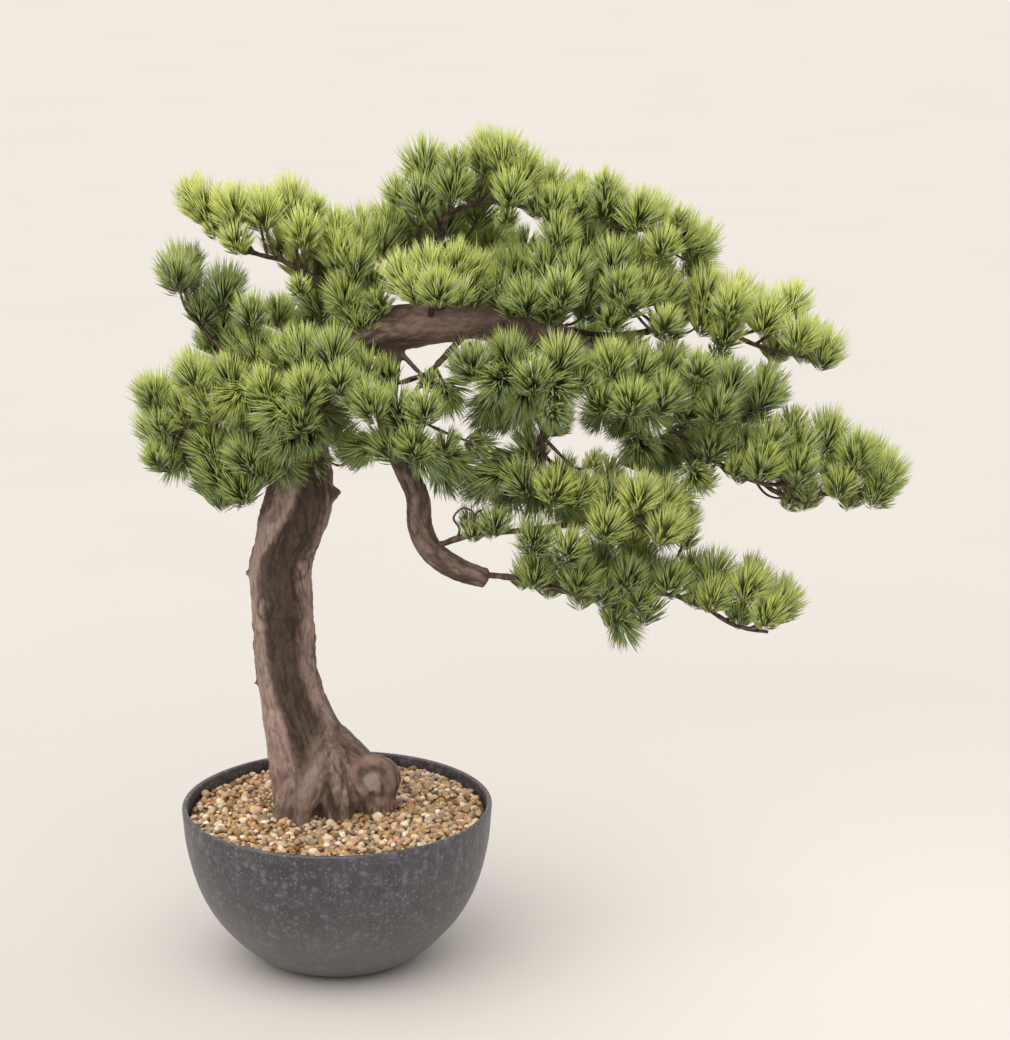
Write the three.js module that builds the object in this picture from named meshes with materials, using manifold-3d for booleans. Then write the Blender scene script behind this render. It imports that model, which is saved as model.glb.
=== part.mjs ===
// A pine bonsai standing in its round bowl.
//
// Frame: millimetres, +Z up, origin at the centre of the bowl's foot where it
// rests; +X points to the side the crown leans to, -Y is the front.
//
// Pieces: the bowl, the planting block that fills it, the gravel on top, the
// trunk with its limbs, roots and burl in one piece, and for every spray that is
// plugged into a limb one stem with its side twigs and one pad of needles.

import * as THREE from 'three';
import { mergeVertices } from 'three/addons/utils/BufferGeometryUtils.js';
import Module from 'manifold-3d';

// ---------------------------------------------------------------- dimensions
const POT_HEIGHT = 112; // rim above the surface it stands on
const POT_WALL = 4; // wall thickness at the rim
const POT_FLOOR = 7; // thickness of the bowl's floor
const POT_SEGMENTS = 40;
// outer profile of the bowl as [radius, height]; the rim is 215 mm across
const POT_OUTSIDE = [
  [46, 0], [50.5, 1.6], [57, 5], [65, 11], [75.5, 21], [88.5, 37.5],
  [98.5, 58.5], [104.9, 84], [107.5, 110.4], [106.6, 112],
];
const SOIL_TOP = 96; // top of the planting block
const GRAVEL_TOP = 107; // mean height of the gravel
const GRAVEL_BUMP = 1.5; // height of its unevenness
const GAP = 0.3; // clearance kept between neighbouring pieces
const PAD_GAP = 1.8; // clearance from a needle pad to the next pad and to the wood
const PAD_TOLERANCE = 0.8; // how far a pad's faces may move when slivers are dropped
const STEM_R0 = 2.3; // stem radius where it plugs into the limb
const STEM_R1 = 1.4; // stem radius at its tip
const TWIG_R = 1.15; // side twig radius

// Trunk, limbs and roots: centre line points as [x, y, z, radius].
const LIMBS = {
  trunk: [
    [-19.2, 6, 82.4, 24.46], [-20.2, 8, 109.8, 25.1], [-22.7, 10, 137.1, 25.39], [-25.5, 11, 161.7, 24.98],
    [-30.4, 12, 181.7, 22.57], [-34.3, 13, 199.6, 21.01], [-35.9, 14, 217.3, 20.84], [-36, 14, 236.8, 21.2],
    [-36.5, 14, 254.7, 21.3], [-36.6, 13, 274.3, 20.96], [-34.8, 12, 289.5, 20.91], [-30.5, 11, 303.9, 22.5],
    [-26.5, 10, 316.8, 23.48], [-23.4, 8, 329.3, 22.74], [-21.1, 7, 343.5, 20.32], [-20.7, 5, 361.4, 18.23],
    [-20.1, 2, 382.9, 16.81], [-15.6, 0, 403.3, 16.42], [-5.1, -2, 422.2, 16.03], [11.2, -4, 436.2, 15.65],
    [29.3, -5, 444.5, 15.56], [48.6, -5, 447.9, 15.69], [67.9, -5, 450.6, 14.62], [89.2, -4, 453.1, 13.62],
    [110.4, -2, 456.1, 12.63], [131.7, 0, 451, 11.32], [154.5, 2, 437, 10.02], [176, 3, 423.2, 9.04],
    [192.2, 4, 414.1, 8.05],
  ],
  droop: [
    [42.6, -5, 445.9, 9.31], [39.9, -8, 431.6, 8.65], [37.9, -11, 414.5, 8.12], [37.8, -14, 394.8, 8],
    [41, -17, 374.9, 8], [49.6, -20, 355.1, 7.75], [58.2, -23, 335.9, 7.89], [59.5, -26, 316.6, 8.7],
    [66.8, -28, 300.8, 8.57], [83.6, -30, 288.5, 8.18], [103.7, -30, 281.2, 7.04],
  ],
  prop: [
    [37.3, -6, 440.7, 5.32], [46, -10, 432.7, 2.79], [55.3, -14, 423.3, 2.12], [65.3, -18, 414, 1.72],
  ],
  upper: [
    [62.5, -3, 453.6, 9.31], [66.5, 2, 467.5, 7.98], [69.2, 6, 481.6, 6.99], [71.2, 8, 494.7, 6.32],
  ],
  left: [
    [-17.3, 0, 384.7, 9.74], [-22.2, -14, 394.1, 8.66], [-31, -29, 402.2, 7.93], [-42.1, -38, 405.6, 7.24],
  ],
  back: [
    [73.1, -2, 450.7, 9.32], [87.4, 22, 443.2, 8.08], [99.4, 46, 435.7, 7.16], [113, 68, 428.5, 6.21],
  ],
  burl: [
    [-18, 10, 178, 12.5], [-10, 8, 160, 14], [2, 6, 145, 15.5], [14, 4, 132, 16.5],
    [23, 2, 118, 16.5], [27, 1, 102, 14.5], [29, 1, 88, 12],
  ],
  root_left: [
    [-24, 2, 152, 12.5], [-30, -4, 128, 11], [-35, -10, 112, 8.5], [-41, -15, 92, 5],
  ],
  root_front: [
    [-8, -4, 156, 11], [-14, -12, 134, 10.5], [-22, -19, 116, 9], [-29, -25, 96, 6],
  ],
  root_mid: [
    [-4, -4, 150, 13], [-1, -10, 130, 12.5], [2, -15, 112, 11.5], [4, -18, 92, 9],
  ],
  root_back: [
    [-24, 18, 140, 12.5], [-30, 30, 120, 10.5], [-36, 40, 104, 7.5], [-42, 48, 88, 5],
  ],
  root_back_right: [
    [-8, 20, 142, 12.5], [4, 32, 122, 11], [16, 42, 105, 8], [24, 50, 88, 5],
  ],
};

// Sprays: the stem's centre line; side twigs as [place along the stem, end x,
// y, z, axis x, y, z]; and the lobes of the needle pad as [x, y, z, three radii,
// quaternion x, y, z, w]. Bridges are the needles between two lobes, as
// [x, y, z, radius].
const SPRAYS = [
  {
    name: 'apex',
    stem: [[70.5, 8, 489.3], [72.6, 5, 507.3], [79.4, 3, 521.6], [93.3, 0, 528.8], [110.5, -2, 531.1], [127.6, -4, 528.1], [144.7, -5, 520.3], [154, -5, 514.3]],
    twigs: [[0.28, 84, -24.3, 558.8, -0, -0.22, 0.98], [0.18, 63.9, -3.7, 554.1, -0.12, -0.06, 0.99]],
    lobes: [
      [56.6, -9.3, 546.7, 31.8, 27.4, 19.1, -0.399, -0.247, 0.83, -0.301],
      [83, -24.5, 555.5, 23, 17.3, 17.3, -0.503, -0.453, -0.465, 0.57],
      [116.8, -9.3, 563.6, 33.6, 25.8, 20.9, -0.314, 0.236, -0.195, 0.899],
      [108.4, 23, 543.9, 29.3, 20.4, 20.4, -0.692, -0.143, -0.074, 0.704],
      [137.4, -18.2, 533.7, 35.3, 35.5, 28.2, 0.92, 0.072, -0.143, -0.359],
      [73.1, 24, 543.1, 20.2, 20.2, 20.2, 0, 0, 0, 1],
    ],
    bridges: [[68.2, 10, 551.1, 11.9], [111.8, 12, 556.8, 11.8]],
  },
  {
    name: 'upper_left',
    stem: [[35.9, -3, 450.9], [14.9, -4, 465.9], [-7.3, -6, 479.7], [-29, -6, 491.8], [-50.6, -6, 497.8], [-65.1, -6, 501.8]],
    twigs: [[0.74, -90.4, 7.7, 533.8, -0.37, 0.08, 0.93], [0.42, -8.1, -8.9, 527.2, -0.08, -0.03, 1]],
    lobes: [
      [-87.1, 2, 535.4, 26.6, 19.8, 19.8, 0.204, 0.646, -0.62, -0.396],
      [-59.4, -21.8, 524.4, 34, 28.6, 23.2, 0.847, -0.018, 0.272, -0.456],
      [-58.4, 15, 526.1, 29.5, 20.4, 20.4, 0.972, -0.05, 0.012, 0.229],
      [-7.6, -8.8, 519.2, 38.5, 32.2, 26.4, 0.013, 0.385, 0.083, 0.919],
      [-28, 11, 497.6, 24.7, 16.5, 16.5, 0.784, -0.327, -0.21, -0.484],
      [-19.1, -28, 481.1, 11.8, 11.8, 11.8, 0, 0, 0, 1],
    ],
    bridges: [[-6.3, -20, 492.3, 18.9]],
  },
  {
    name: 'left_small',
    stem: [[-17.3, 2, 391.2], [-33.8, -6, 410.7], [-55.7, -12, 425.6], [-75.2, -13, 438.7], [-88.3, -11, 453.8], [-94.6, -10, 467.1]],
    twigs: [[0.75, -96.8, -44, 489.5, -0.18, -0.24, 0.95]],
    lobes: [
      [-95.6, 3, 490.9, 28.8, 17.6, 17.6, 0.506, 0.378, 0.541, 0.555],
      [-66.7, -17.8, 461, 42.1, 36.3, 26, 0.21, 0.559, 0.725, 0.342],
      [-79.6, 12, 454.9, 32.7, 25.6, 21, -0.47, -0.637, -0.275, 0.546],
      [-97.5, -45, 493.4, 18.5, 18.5, 18.5, 0, 0, 0, 1],
    ],
    bridges: [[-83, -13, 484, 11.2], [-80.6, 5, 460.8, 11.2], [-97.4, -27.5, 491.3, 13.7]],
  },
  {
    name: 'upper_right',
    stem: [[129.1, 2, 451.3], [150.5, 12, 476.5], [167.6, 12, 503.4], [187.4, 9, 511.3], [211.2, 7, 511.6], [233.7, 4, 505.5]],
    twigs: [[0.44, 181.4, -14.5, 545, 0.11, -0.2, 0.97], [0.85, 244.5, 31.3, 483.9, 0.76, 0.6, -0.26]],
    lobes: [
      [161.3, 4.7, 530.5, 38, 24.5, 16.5, -0.42, 0.743, -0.248, 0.459],
      [189.6, -15, 538.6, 33.6, 23.1, 18, -0.385, 0.305, -0.07, 0.868],
      [184.4, 26.3, 516.1, 29.9, 27.1, 19.8, 0.17, 0.596, 0.778, -0.1],
      [225.2, -11.8, 518.2, 36.6, 26.3, 23.6, 0.748, -0.608, 0.05, -0.262],
      [246.9, 21, 493.4, 34.7, 20.4, 20.4, 0.288, 0.61, 0.314, 0.668],
      [129.6, -4, 506.1, 13.4, 13.4, 13.4, 0, 0, 0, 1],
    ],
    bridges: [[201.8, 16, 523.2, 11.2], [169.2, 27.5, 529.2, 12.1], [142.1, -4.5, 511.6, 13]],
  },
  {
    name: 'right_high',
    stem: [[146.4, 2, 440.4], [157.2, 8, 443.3], [182.7, 8, 439.9], [213.3, 4, 443.4], [239.7, 2, 452.6], [257, 0, 448.9], [277, -2, 437.8], [297.1, -3, 431.2], [317.1, -4, 427.3], [331.8, -5, 422.1]],
    twigs: [[0.7, 306.6, 1.8, 462, 0.33, 0.04, 0.94], [0.48, 265.3, -22.7, 466.2, 0.32, -0.28, 0.91]],
    lobes: [
      [260.3, -14.7, 464.8, 33.8, 30.7, 20, -0.366, 0.519, 0.071, 0.769],
      [290.6, 6, 463, 36.8, 31.7, 24.8, 0.932, -0.355, -0.045, 0.058],
      [315.2, 0.5, 438, 40.9, 31.8, 22.6, -0.167, -0.067, -0.64, 0.747],
      [231, 2.5, 458.3, 28.4, 19.5, 19.5, -0.124, -0.343, 0.827, -0.428],
      [197, 0, 447, 24.3, 12.4, 12.4, -0.634, 0.539, -0.092, 0.547],
    ],
    bridges: [[295.9, 18, 444.4, 11.2], [213.7, -7.5, 446.7, 12.4]],
  },
  {
    name: 'far_right',
    stem: [[170.7, 7, 427.1], [184.5, 20, 423], [228.2, 20, 389.9], [266.1, 12, 361.1], [299.9, 4, 332.4], [329.3, 0, 332], [357.7, 0, 334.8]],
    twigs: [[0.76, 332.5, -5.7, 373.9, 0.23, -0.06, 0.97], [0.89, 350.7, -19.2, 364.4, 0.22, -0.18, 0.96]],
    lobes: [
      [342.3, -15.3, 365.2, 35.1, 29.4, 20, -0.533, 0.583, 0.17, 0.589],
      [370.1, 1, 346.6, 32.6, 28.7, 23.6, -0.406, 0.432, -0.571, 0.568],
      [346.7, 13, 341.4, 27.6, 18.2, 18.2, -0.647, 0.492, 0.169, 0.557],
      [314.6, -1, 333.8, 30.5, 19.2, 16.2, -0.191, -0.014, 0.779, 0.597],
      [278, 14, 349.5, 16.8, 16.8, 16.8, 0, 0, 0, 1],
    ],
    bridges: [[331, 12, 341.6, 11.4], [330, -20, 344.4, 11.7], [293.3, 12, 341.2, 19.4]],
  },
  {
    name: 'left_tip',
    stem: [[-37, -36, 404.5], [-51.7, -34, 402], [-68.5, -26, 392], [-88, -18, 384.8], [-106, -14, 377], [-115.7, -12, 372.4]],
    twigs: [[0.5, -114.8, -42.3, 410.1, -0.41, -0.19, 0.89]],
    lobes: [
      [-110.8, -32.8, 403.6, 36.5, 28.8, 25.6, -0.235, 0.244, -0.572, 0.747],
      [-99.6, -25, 372.9, 37.2, 32.4, 20.6, -0.029, -0.162, 0.321, 0.933],
      [-113.8, 6, 366, 32.1, 19.2, 19.2, 0.286, -0.618, 0.618, 0.393],
      [-80.5, -42, 406.5, 20.2, 20.2, 20.2, 0, 0, 0, 1],
    ],
    bridges: [[-89.8, -33, 389.6, 11.2]],
  },
  {
    name: 'left_low',
    stem: [[-31.7, -29, 402.2], [-37.2, -37, 391.9], [-44, -37, 381], [-54.2, -30, 366.4], [-67.1, -22, 351.4], [-77, -18, 343.6]],
    twigs: [[0.75, -62.2, 12.3, 329.5, -0.17, 0.89, -0.43]],
    lobes: [
      [-72.6, 3.8, 339.8, 33.1, 26.6, 24.3, 0.12, 0.274, 0.421, 0.856],
      [-59.2, -37, 360.1, 36.6, 32.2, 25.8, -0.007, 0.471, 0.871, 0.138],
      [-27.6, -15, 352.5, 18.5, 18.5, 18.5, 0, 0, 0, 1],
    ],
    bridges: [],
  },
  {
    name: 'left_high',
    stem: [[-26.2, -22, 399.3], [-30.4, -34, 412.8], [-45.6, -40, 419.5], [-65.9, -34, 418.2], [-81.2, -26, 415.1]],
    twigs: [[0.73, -62, 3.9, 417.8, -0.12, 0.46, 0.88]],
    lobes: [
      [-69.1, -6.7, 410.9, 40.4, 35.1, 20.5, 0.857, -0.221, -0.333, -0.326],
      [-73.5, -43.3, 418.8, 36.6, 30.5, 20.4, 0.014, 0.841, 0.42, -0.341],
      [-39, -38, 433.4, 36.8, 31.4, 20.7, 0.65, -0.635, -0.037, -0.416],
    ],
    bridges: [[-76.8, -23, 421.2, 11.2], [-61.4, -30, 398.4, 14.1]],
  },
  {
    name: 'left_inner',
    stem: [[-16.5, -8, 397.5], [-13.5, -32, 408.3], [-16.4, -46, 416.7], [-21, -54, 422.5]],
    twigs: [[0.3, 21.1, -56.4, 412.6, 0.23, -0.35, 0.91]],
    lobes: [
      [1.9, -58.4, 431.1, 40.4, 36.8, 24.7, 0.352, 0.226, -0.259, 0.871],
      [-24, -57.5, 390.5, 35.8, 28.5, 23.7, -0.555, 0.676, -0.453, -0.17],
      [0.1, 1, 383.8, 20.2, 20.2, 20.2, 0, 0, 0, 1],
    ],
    bridges: [[-7.2, -21.5, 381.9, 22.1]],
  },
  {
    name: 'upper_mid',
    stem: [[47.8, 0, 447.6], [37.1, 4, 460.4], [23.8, 6, 472.1], [13.2, 6, 480.2]],
    twigs: [[0.46, 40.6, 33.1, 512.9, -0.02, 0.2, 0.98], [0.58, -21.1, 21.6, 483.2, -0.47, 0.14, 0.87]],
    lobes: [
      [-13.2, 16.7, 479.2, 28.8, 26, 16.7, -0.588, -0.372, 0.631, -0.343],
      [20.2, -0.7, 494, 34.1, 32.1, 19.8, 0.737, 0.333, -0.48, -0.341],
      [30.8, 29.3, 510.9, 30.5, 27.5, 20.2, -0.182, 0.88, 0.427, 0.104],
      [18.5, -17.5, 465.9, 29.6, 25.9, 19.1, 0.816, 0.025, -0.062, 0.573],
    ],
    bridges: [[6.9, 10, 496.4, 11.2]],
  },
  {
    name: 'upper_front',
    stem: [[66.8, -14, 455.7], [69.9, -30, 470.8], [74, -36, 481.2], [79.3, -38, 485.6]],
    twigs: [[0.46, 73.5, -67, 484.6, -0.03, -0.45, 0.89]],
    lobes: [
      [57.7, -41.3, 491, 31.5, 27.2, 19.4, 0.838, -0.334, 0.255, -0.348],
      [88, -18.8, 486.3, 38.4, 31.9, 22.9, -0.657, 0.661, -0.095, -0.351],
      [80.4, -63.5, 485.6, 25.3, 17.3, 17.3, -0.119, 0.692, 0.628, -0.335],
    ],
    bridges: [],
  },
  {
    name: 'mid_high',
    stem: [[111.8, -8, 457.3], [130.2, -18, 465.9], [149.9, -24, 473.7], [168.2, -26, 478.1]],
    twigs: [[0.68, 171.7, -0.8, 504.5, 0.21, 0.17, 0.96]],
    lobes: [
      [135.7, -1.2, 482.6, 35, 32.1, 24.1, 0.413, 0.292, -0.044, 0.862],
      [157.8, -35, 488, 40.3, 33.1, 27.8, 0.18, 0.293, 0.223, 0.912],
      [121.6, -32.5, 478.6, 29.6, 19, 19, 0.192, 0.724, -0.606, -0.266],
      [175.8, -4, 500.4, 28.4, 20.1, 20.1, 0.054, -0.7, 0.42, 0.576],
    ],
    bridges: [[166.1, 1, 488.5, 11.9]],
  },
  {
    name: 'mid_high_right',
    stem: [[133, -4, 451.1], [162.1, -8, 461.3], [187.1, -12, 468.8], [209.6, -12, 470.1]],
    twigs: [[0.71, 248.7, -6.2, 453.6, 0.59, 0.04, 0.81]],
    lobes: [
      [193.6, -32.4, 483.4, 41.9, 26.8, 24.9, 0.635, -0.429, -0.627, 0.14],
      [218.5, -26.7, 472.2, 36, 28.4, 18.3, 0.727, -0.576, -0.367, 0.065],
      [207.4, 19, 483.3, 30.8, 19.8, 19.8, -0.06, -0.702, 0.702, 0.104],
      [251.1, -6, 456.9, 18.5, 18.5, 18.5, 0, 0, 0, 1],
    ],
    bridges: [[210.8, -44, 467.6, 12.9], [237.6, -8, 466, 13.2]],
  },
  {
    name: 'mid_left',
    stem: [[113.1, -12, 450], [123.6, -38, 441.8], [136.6, -54, 434.5], [149.5, -60, 429.1]],
    twigs: [[0.15, 105.7, -23.2, 396.8, -0.44, -0.18, -0.88]],
    lobes: [
      [125.2, -57, 425.4, 33.2, 31.8, 20.4, -0.018, 0.595, 0.452, 0.665],
      [156, -72.5, 423.7, 40.5, 28.7, 20.2, -0.558, -0.602, -0.088, 0.564],
      [116.7, -28.5, 393.6, 31.2, 19.5, 19.5, -0.67, 0.094, -0.14, 0.723],
      [101.9, -69.5, 430.8, 29.8, 19.8, 19.8, 0.805, -0.344, -0.195, -0.442],
    ],
    bridges: [],
  },
  {
    name: 'mid_right',
    stem: [[161, -6, 432.5], [178.9, -32, 429.8], [196.8, -46, 424.8], [211.1, -50, 420.3]],
    twigs: [[0.42, 178.1, -61.2, 411.9, -0.02, -0.62, 0.78]],
    lobes: [
      [192.1, -60, 425.2, 37.7, 31.2, 24.9, 0.769, 0.435, 0.109, -0.455],
      [209.8, -23.5, 434.4, 31.2, 18.2, 18.2, 0.013, 0.709, -0.675, -0.204],
      [217.6, -52, 406, 30.1, 19.8, 19.8, 0, -0.462, -0.295, 0.836],
    ],
    bridges: [[200.8, -32.5, 435.7, 11.6]],
  },
  {
    name: 'right_mid',
    stem: [[171.9, 0, 423.1], [183.4, -16, 422.4], [212.4, -22, 418.3], [238.6, -28, 411.5], [262.2, -32, 405.6]],
    twigs: [[0.81, 296, -13.3, 402, 0.59, 0.12, 0.8]],
    lobes: [
      [249.7, -44.6, 417.1, 38, 29.9, 29, 0.647, -0.634, 0.086, 0.413],
      [291.2, -14.2, 408.4, 28.6, 22.8, 21.9, 0.186, -0.58, -0.219, 0.763],
      [262.8, 0.5, 422.3, 23.1, 15.1, 15.1, 0.605, 0.356, 0.711, 0.033],
      [227.1, 9, 426, 16.8, 16.8, 16.8, 0, 0, 0, 1],
    ],
    bridges: [[278, -34, 416.8, 11.2], [243.7, 7, 428.1, 18.6]],
  },
  {
    name: 'right_low',
    stem: [[186.8, 4, 416.8], [202.9, 2, 404.9], [221.8, -2, 383.8], [252.6, -8, 360.4], [284.9, -12, 343.4], [304.9, -14, 342.5]],
    twigs: [[0.8, 308.3, -19.8, 384.7, 0.28, -0.07, 0.96], [0.66, 291.2, -32.9, 376.1, 0.36, -0.23, 0.9]],
    lobes: [
      [260.3, -16, 364.5, 36.3, 27.6, 28.3, -0.358, -0.442, 0.775, 0.275],
      [302.9, -30.8, 373.6, 37.4, 33.6, 22.3, -0.746, -0.427, 0.027, 0.51],
      [302.3, 7, 358.8, 30, 19.8, 19.8, 0.062, 0.704, -0.518, -0.482],
      [224.8, -32.5, 360.6, 36.2, 18.2, 18.2, 0.079, -0.672, 0.701, 0.226],
      [179.6, 25, 381.8, 16.8, 16.8, 16.8, 0, 0, 0, 1],
    ],
    bridges: [[310.5, -10, 362.2, 11.2], [249.4, -31.5, 363.8, 11.5]],
  },
  {
    name: 'low_mid',
    stem: [[143.7, -6, 440.7], [142.2, -24, 413.3], [140.9, -30, 383.5], [142.3, -32, 359.4], [145, -32, 341.6]],
    twigs: [[0.64, 172.1, 16.9, 324.9, 0.52, 0.69, -0.49], [0.65, 140.3, 22.1, 329, 0.03, 0.87, -0.49]],
    lobes: [
      [140, -35.8, 368, 38.4, 30.9, 22.1, -0.498, -0.12, 0.73, -0.453],
      [172.2, -31.2, 355.8, 31.8, 31.8, 23.4, -0.072, -0.088, -0.356, 0.928],
      [103.7, -26.7, 349.9, 29.5, 23.6, 18.3, -0.27, 0.901, -0.117, 0.318],
      [145.9, -17, 330.2, 30.3, 19.8, 19.8, 0.079, 0.014, -0.208, 0.975],
      [174.5, 20, 322.7, 20.2, 20.2, 20.2, 0, 0, 0, 1],
      [128.8, 18, 326, 31.3, 19.2, 19.2, -0.297, 0.954, 0.03, 0.019],
      [106.4, -8, 388.6, 20.2, 20.2, 20.2, 0, 0, 0, 1],
    ],
    bridges: [[156.8, -21, 342.2, 11.2], [125.8, -1, 328.1, 11.2], [119.8, -13.5, 381.3, 12.1], [157.4, 23, 324.8, 13.7]],
  },
  {
    name: 'low_front',
    stem: [[70.2, -28, 303.3], [95.7, -30, 312.1], [123.1, -32, 314.7], [153, -36, 319.3], [183.5, -38, 322.5], [208.8, -38, 325.3]],
    twigs: [[0.9, 232.2, -26.4, 320.1, 0.59, 0.1, 0.8], [0.89, 212.4, -9.5, 330.2, 0.36, 0.34, 0.87]],
    lobes: [
      [204.7, -50.4, 337.9, 38.5, 31.6, 29.7, 0.883, 0.053, -0.051, -0.463],
      [218.5, -18.7, 325.8, 34.6, 28.8, 19.4, 0.241, 0.899, 0.366, 0.01],
      [99.3, -31.3, 320.6, 24.8, 18.1, 13.4, 0.308, -0.209, -0.302, 0.878],
      [147.8, -52, 314, 30.2, 19.8, 19.8, -0.686, 0.166, -0.013, 0.708],
    ],
    bridges: [[171.7, -57.5, 319.8, 11.2], [123, -44, 320.4, 11.8]],
  },
  {
    name: 'low_long',
    stem: [[98.3, -30, 284], [113, -30, 282.9], [131.8, -29, 279.9], [153.4, -26, 272], [182, -18, 264.8], [214.8, -10, 264.6], [232.8, -4, 261.4], [250.9, -0, 253.1], [274.4, -0, 238.9], [296.3, 0, 234.6]],
    twigs: [[0.51, 237.6, -18.8, 306.4, 0.35, -0.07, 0.93], [0.74, 279.3, -21, 273.7, 0.44, -0.21, 0.87]],
    lobes: [
      [133.5, -25, 285.7, 25.4, 17.1, 17.1, -0.103, 0.332, 0.802, 0.485],
      [168.2, -2.8, 279.3, 35.5, 34.2, 26.8, 0.043, -0.228, 0.075, 0.97],
      [175.2, -38, 281.7, 28.7, 19, 19, 0.666, 0.329, -0.066, 0.666],
      [213.5, -27, 280.3, 33.7, 30, 26.6, -0.058, -0.005, 0.394, 0.917],
      [200.8, -2, 253.6, 34.2, 28.9, 18.2, 0.608, 0.642, 0.205, -0.419],
      [227.6, 19, 280.8, 36.3, 19.8, 19.8, 0.938, -0.156, -0.058, -0.303],
      [254.9, -16.7, 272.6, 28.7, 24.5, 17.8, -0.427, 0.821, 0.031, 0.379],
      [287.4, -25, 269, 29.6, 20.1, 20.1, 0.62, 0.214, -0.429, 0.62],
      [294, 8, 259.7, 33.9, 33.9, 29.7, -0.034, -0.003, -0.192, 0.981],
      [238.7, -19, 309.2, 13.4, 13.4, 13.4, 0, 0, 0, 1],
    ],
    bridges: [[152.4, -37, 289.1, 11.2], [208.3, 0, 274.4, 11.2], [183.8, -22, 283.5, 11.2], [243.4, -28, 276.8, 13.4], [233.6, -24.5, 296, 14.6]],
  },
  {
    name: 'front_left',
    stem: [[90.5, -8, 445.1], [79.4, -22, 434.5], [64.4, -34, 420.2], [55.4, -42, 407.8], [50.1, -46, 393.9], [51.2, -44, 375.9]],
    twigs: [[0.74, 98.1, -34.1, 374.5, 0.95, 0.03, -0.32], [0.79, 84.6, -36.2, 360.8, 0.73, 0.04, -0.69]],
    lobes: [
      [29.8, -29.5, 426, 24.5, 16.8, 16.8, -0.672, -0.063, 0.304, 0.672],
      [45.1, -60, 408.5, 36, 26.7, 19.6, 0.978, 0.13, -0.071, 0.147],
      [47, -54, 381.6, 30.5, 19.5, 19.5, -0.115, -0.011, -0.331, 0.936],
      [17.4, -26, 368.9, 19, 19, 19, 0, 0, 0, 1],
      [80.6, -29, 417.6, 36.3, 24.7, 16.7, -0.479, 0.791, 0.381, 0.028],
      [82.5, -39.2, 365.3, 34.5, 29.9, 17.4, 0.786, -0.057, 0.265, 0.555],
    ],
    bridges: [[40.5, -38.5, 414.5, 14.7], [72.6, -50, 407, 11.2], [27.2, -36, 374.6, 11.3]],
  },
  {
    name: 'back_left',
    stem: [[-16.3, 8, 393.9], [-14, 40, 406.3], [-16.6, 62, 412.9], [-24.2, 74, 416]],
    twigs: [[0.6, -36.8, 104.4, 434.3, -0.24, 0.39, 0.89]],
    lobes: [
      [-6.7, 61.3, 425.7, 38.2, 30.9, 20.5, 0.918, -0.338, -0.066, -0.198],
      [-50.8, 49, 406.5, 30.4, 20.1, 20.1, -0.431, 0.595, 0.656, -0.174],
      [-24.2, 82, 387.9, 37.3, 30.4, 20.4, -0.298, 0.849, 0.431, -0.077],
      [-26.6, 45.5, 449.6, 30.6, 18.2, 18.2, 0.693, -0.13, -0.09, 0.704],
      [-37.8, 106, 438, 18.5, 18.5, 18.5, 0, 0, 0, 1],
    ],
    bridges: [[-41.8, 64, 397.6, 11.2], [-32.6, 58, 438.2, 12.3], [-31.3, 86, 432.8, 19.3]],
  },
  {
    name: 'back_top',
    stem: [[70.4, 12, 483.2], [71.2, 36, 488.5], [76.3, 54, 493.6], [83, 64, 496]],
    twigs: [[0.53, 111.9, 94.2, 492.7, 0.25, 0.44, 0.86]],
    lobes: [
      [59.7, 48.5, 509.4, 39.4, 31.4, 23.4, 0.89, -0.384, 0.192, 0.152],
      [99, 50.3, 508.1, 38.3, 29.7, 20.2, -0.57, 0.652, 0.036, -0.5],
      [72.9, 87, 480.3, 31.1, 20.4, 20.4, -0.523, 0.057, 0.082, 0.846],
      [112.9, 96, 496.2, 18.5, 18.5, 18.5, 0, 0, 0, 1],
    ],
    bridges: [[88.2, 77, 490.3, 12], [99.1, 92, 487.1, 13.7]],
  },
  {
    name: 'back_mid',
    stem: [[111.6, 66, 428.9], [129.6, 80, 428.9], [149.1, 90, 428.4], [168.8, 96, 422.9]],
    twigs: [[0.68, 203.3, 87.4, 402.7, 0.97, 0.12, -0.2]],
    lobes: [
      [126, 77, 433.2, 38.9, 32, 20.4, -0.659, 0.165, -0.487, 0.549],
      [161.4, 84, 447.2, 33.5, 20.6, 20.6, 0.531, -0.26, -0.16, 0.79],
      [164.9, 103.6, 408.1, 43.4, 39.1, 36.5, -0.401, 0.867, 0.06, 0.288],
      [207.8, 88, 401.8, 20.7, 20.7, 20.7, 0, 0, 0, 1],
    ],
    bridges: [[162.5, 95, 432.3, 13], [191.9, 93, 411.4, 15.2]],
  },
  {
    name: 'back_right',
    stem: [[162.6, 6, 431.4], [173.9, 26, 421.8], [201.8, 42, 401.7], [228.8, 56, 384.6], [251.5, 64, 375.7]],
    twigs: [[0.5, 191.8, 87.6, 380.3, -0.09, 0.98, -0.19]],
    lobes: [
      [251.7, 61, 368.6, 36.4, 33.5, 27.8, -0.641, 0.376, -0.279, 0.608],
      [203.1, 85.7, 374.6, 34.9, 29, 19.6, -0.224, -0.494, 0.837, -0.079],
      [279.6, 36, 389.1, 20.7, 20.7, 20.7, 0, 0, 0, 1],
      [229.2, 29, 352.1, 20.2, 20.2, 20.2, 0, 0, 0, 1],
    ],
    bridges: [[272.9, 46, 380.5, 11.2], [231.8, 75, 383.9, 11.2], [241.9, 36.5, 355.6, 11.2]],
  },
  {
    name: 'back_low',
    stem: [[180.2, 8, 421.4], [198.8, 34, 400.7], [215, 52, 365.7], [218.3, 56, 336.3], [208.8, 54, 313.9]],
    twigs: [[0.79, 167.1, 53.4, 307.1, -0.91, 0.13, -0.4]],
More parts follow.
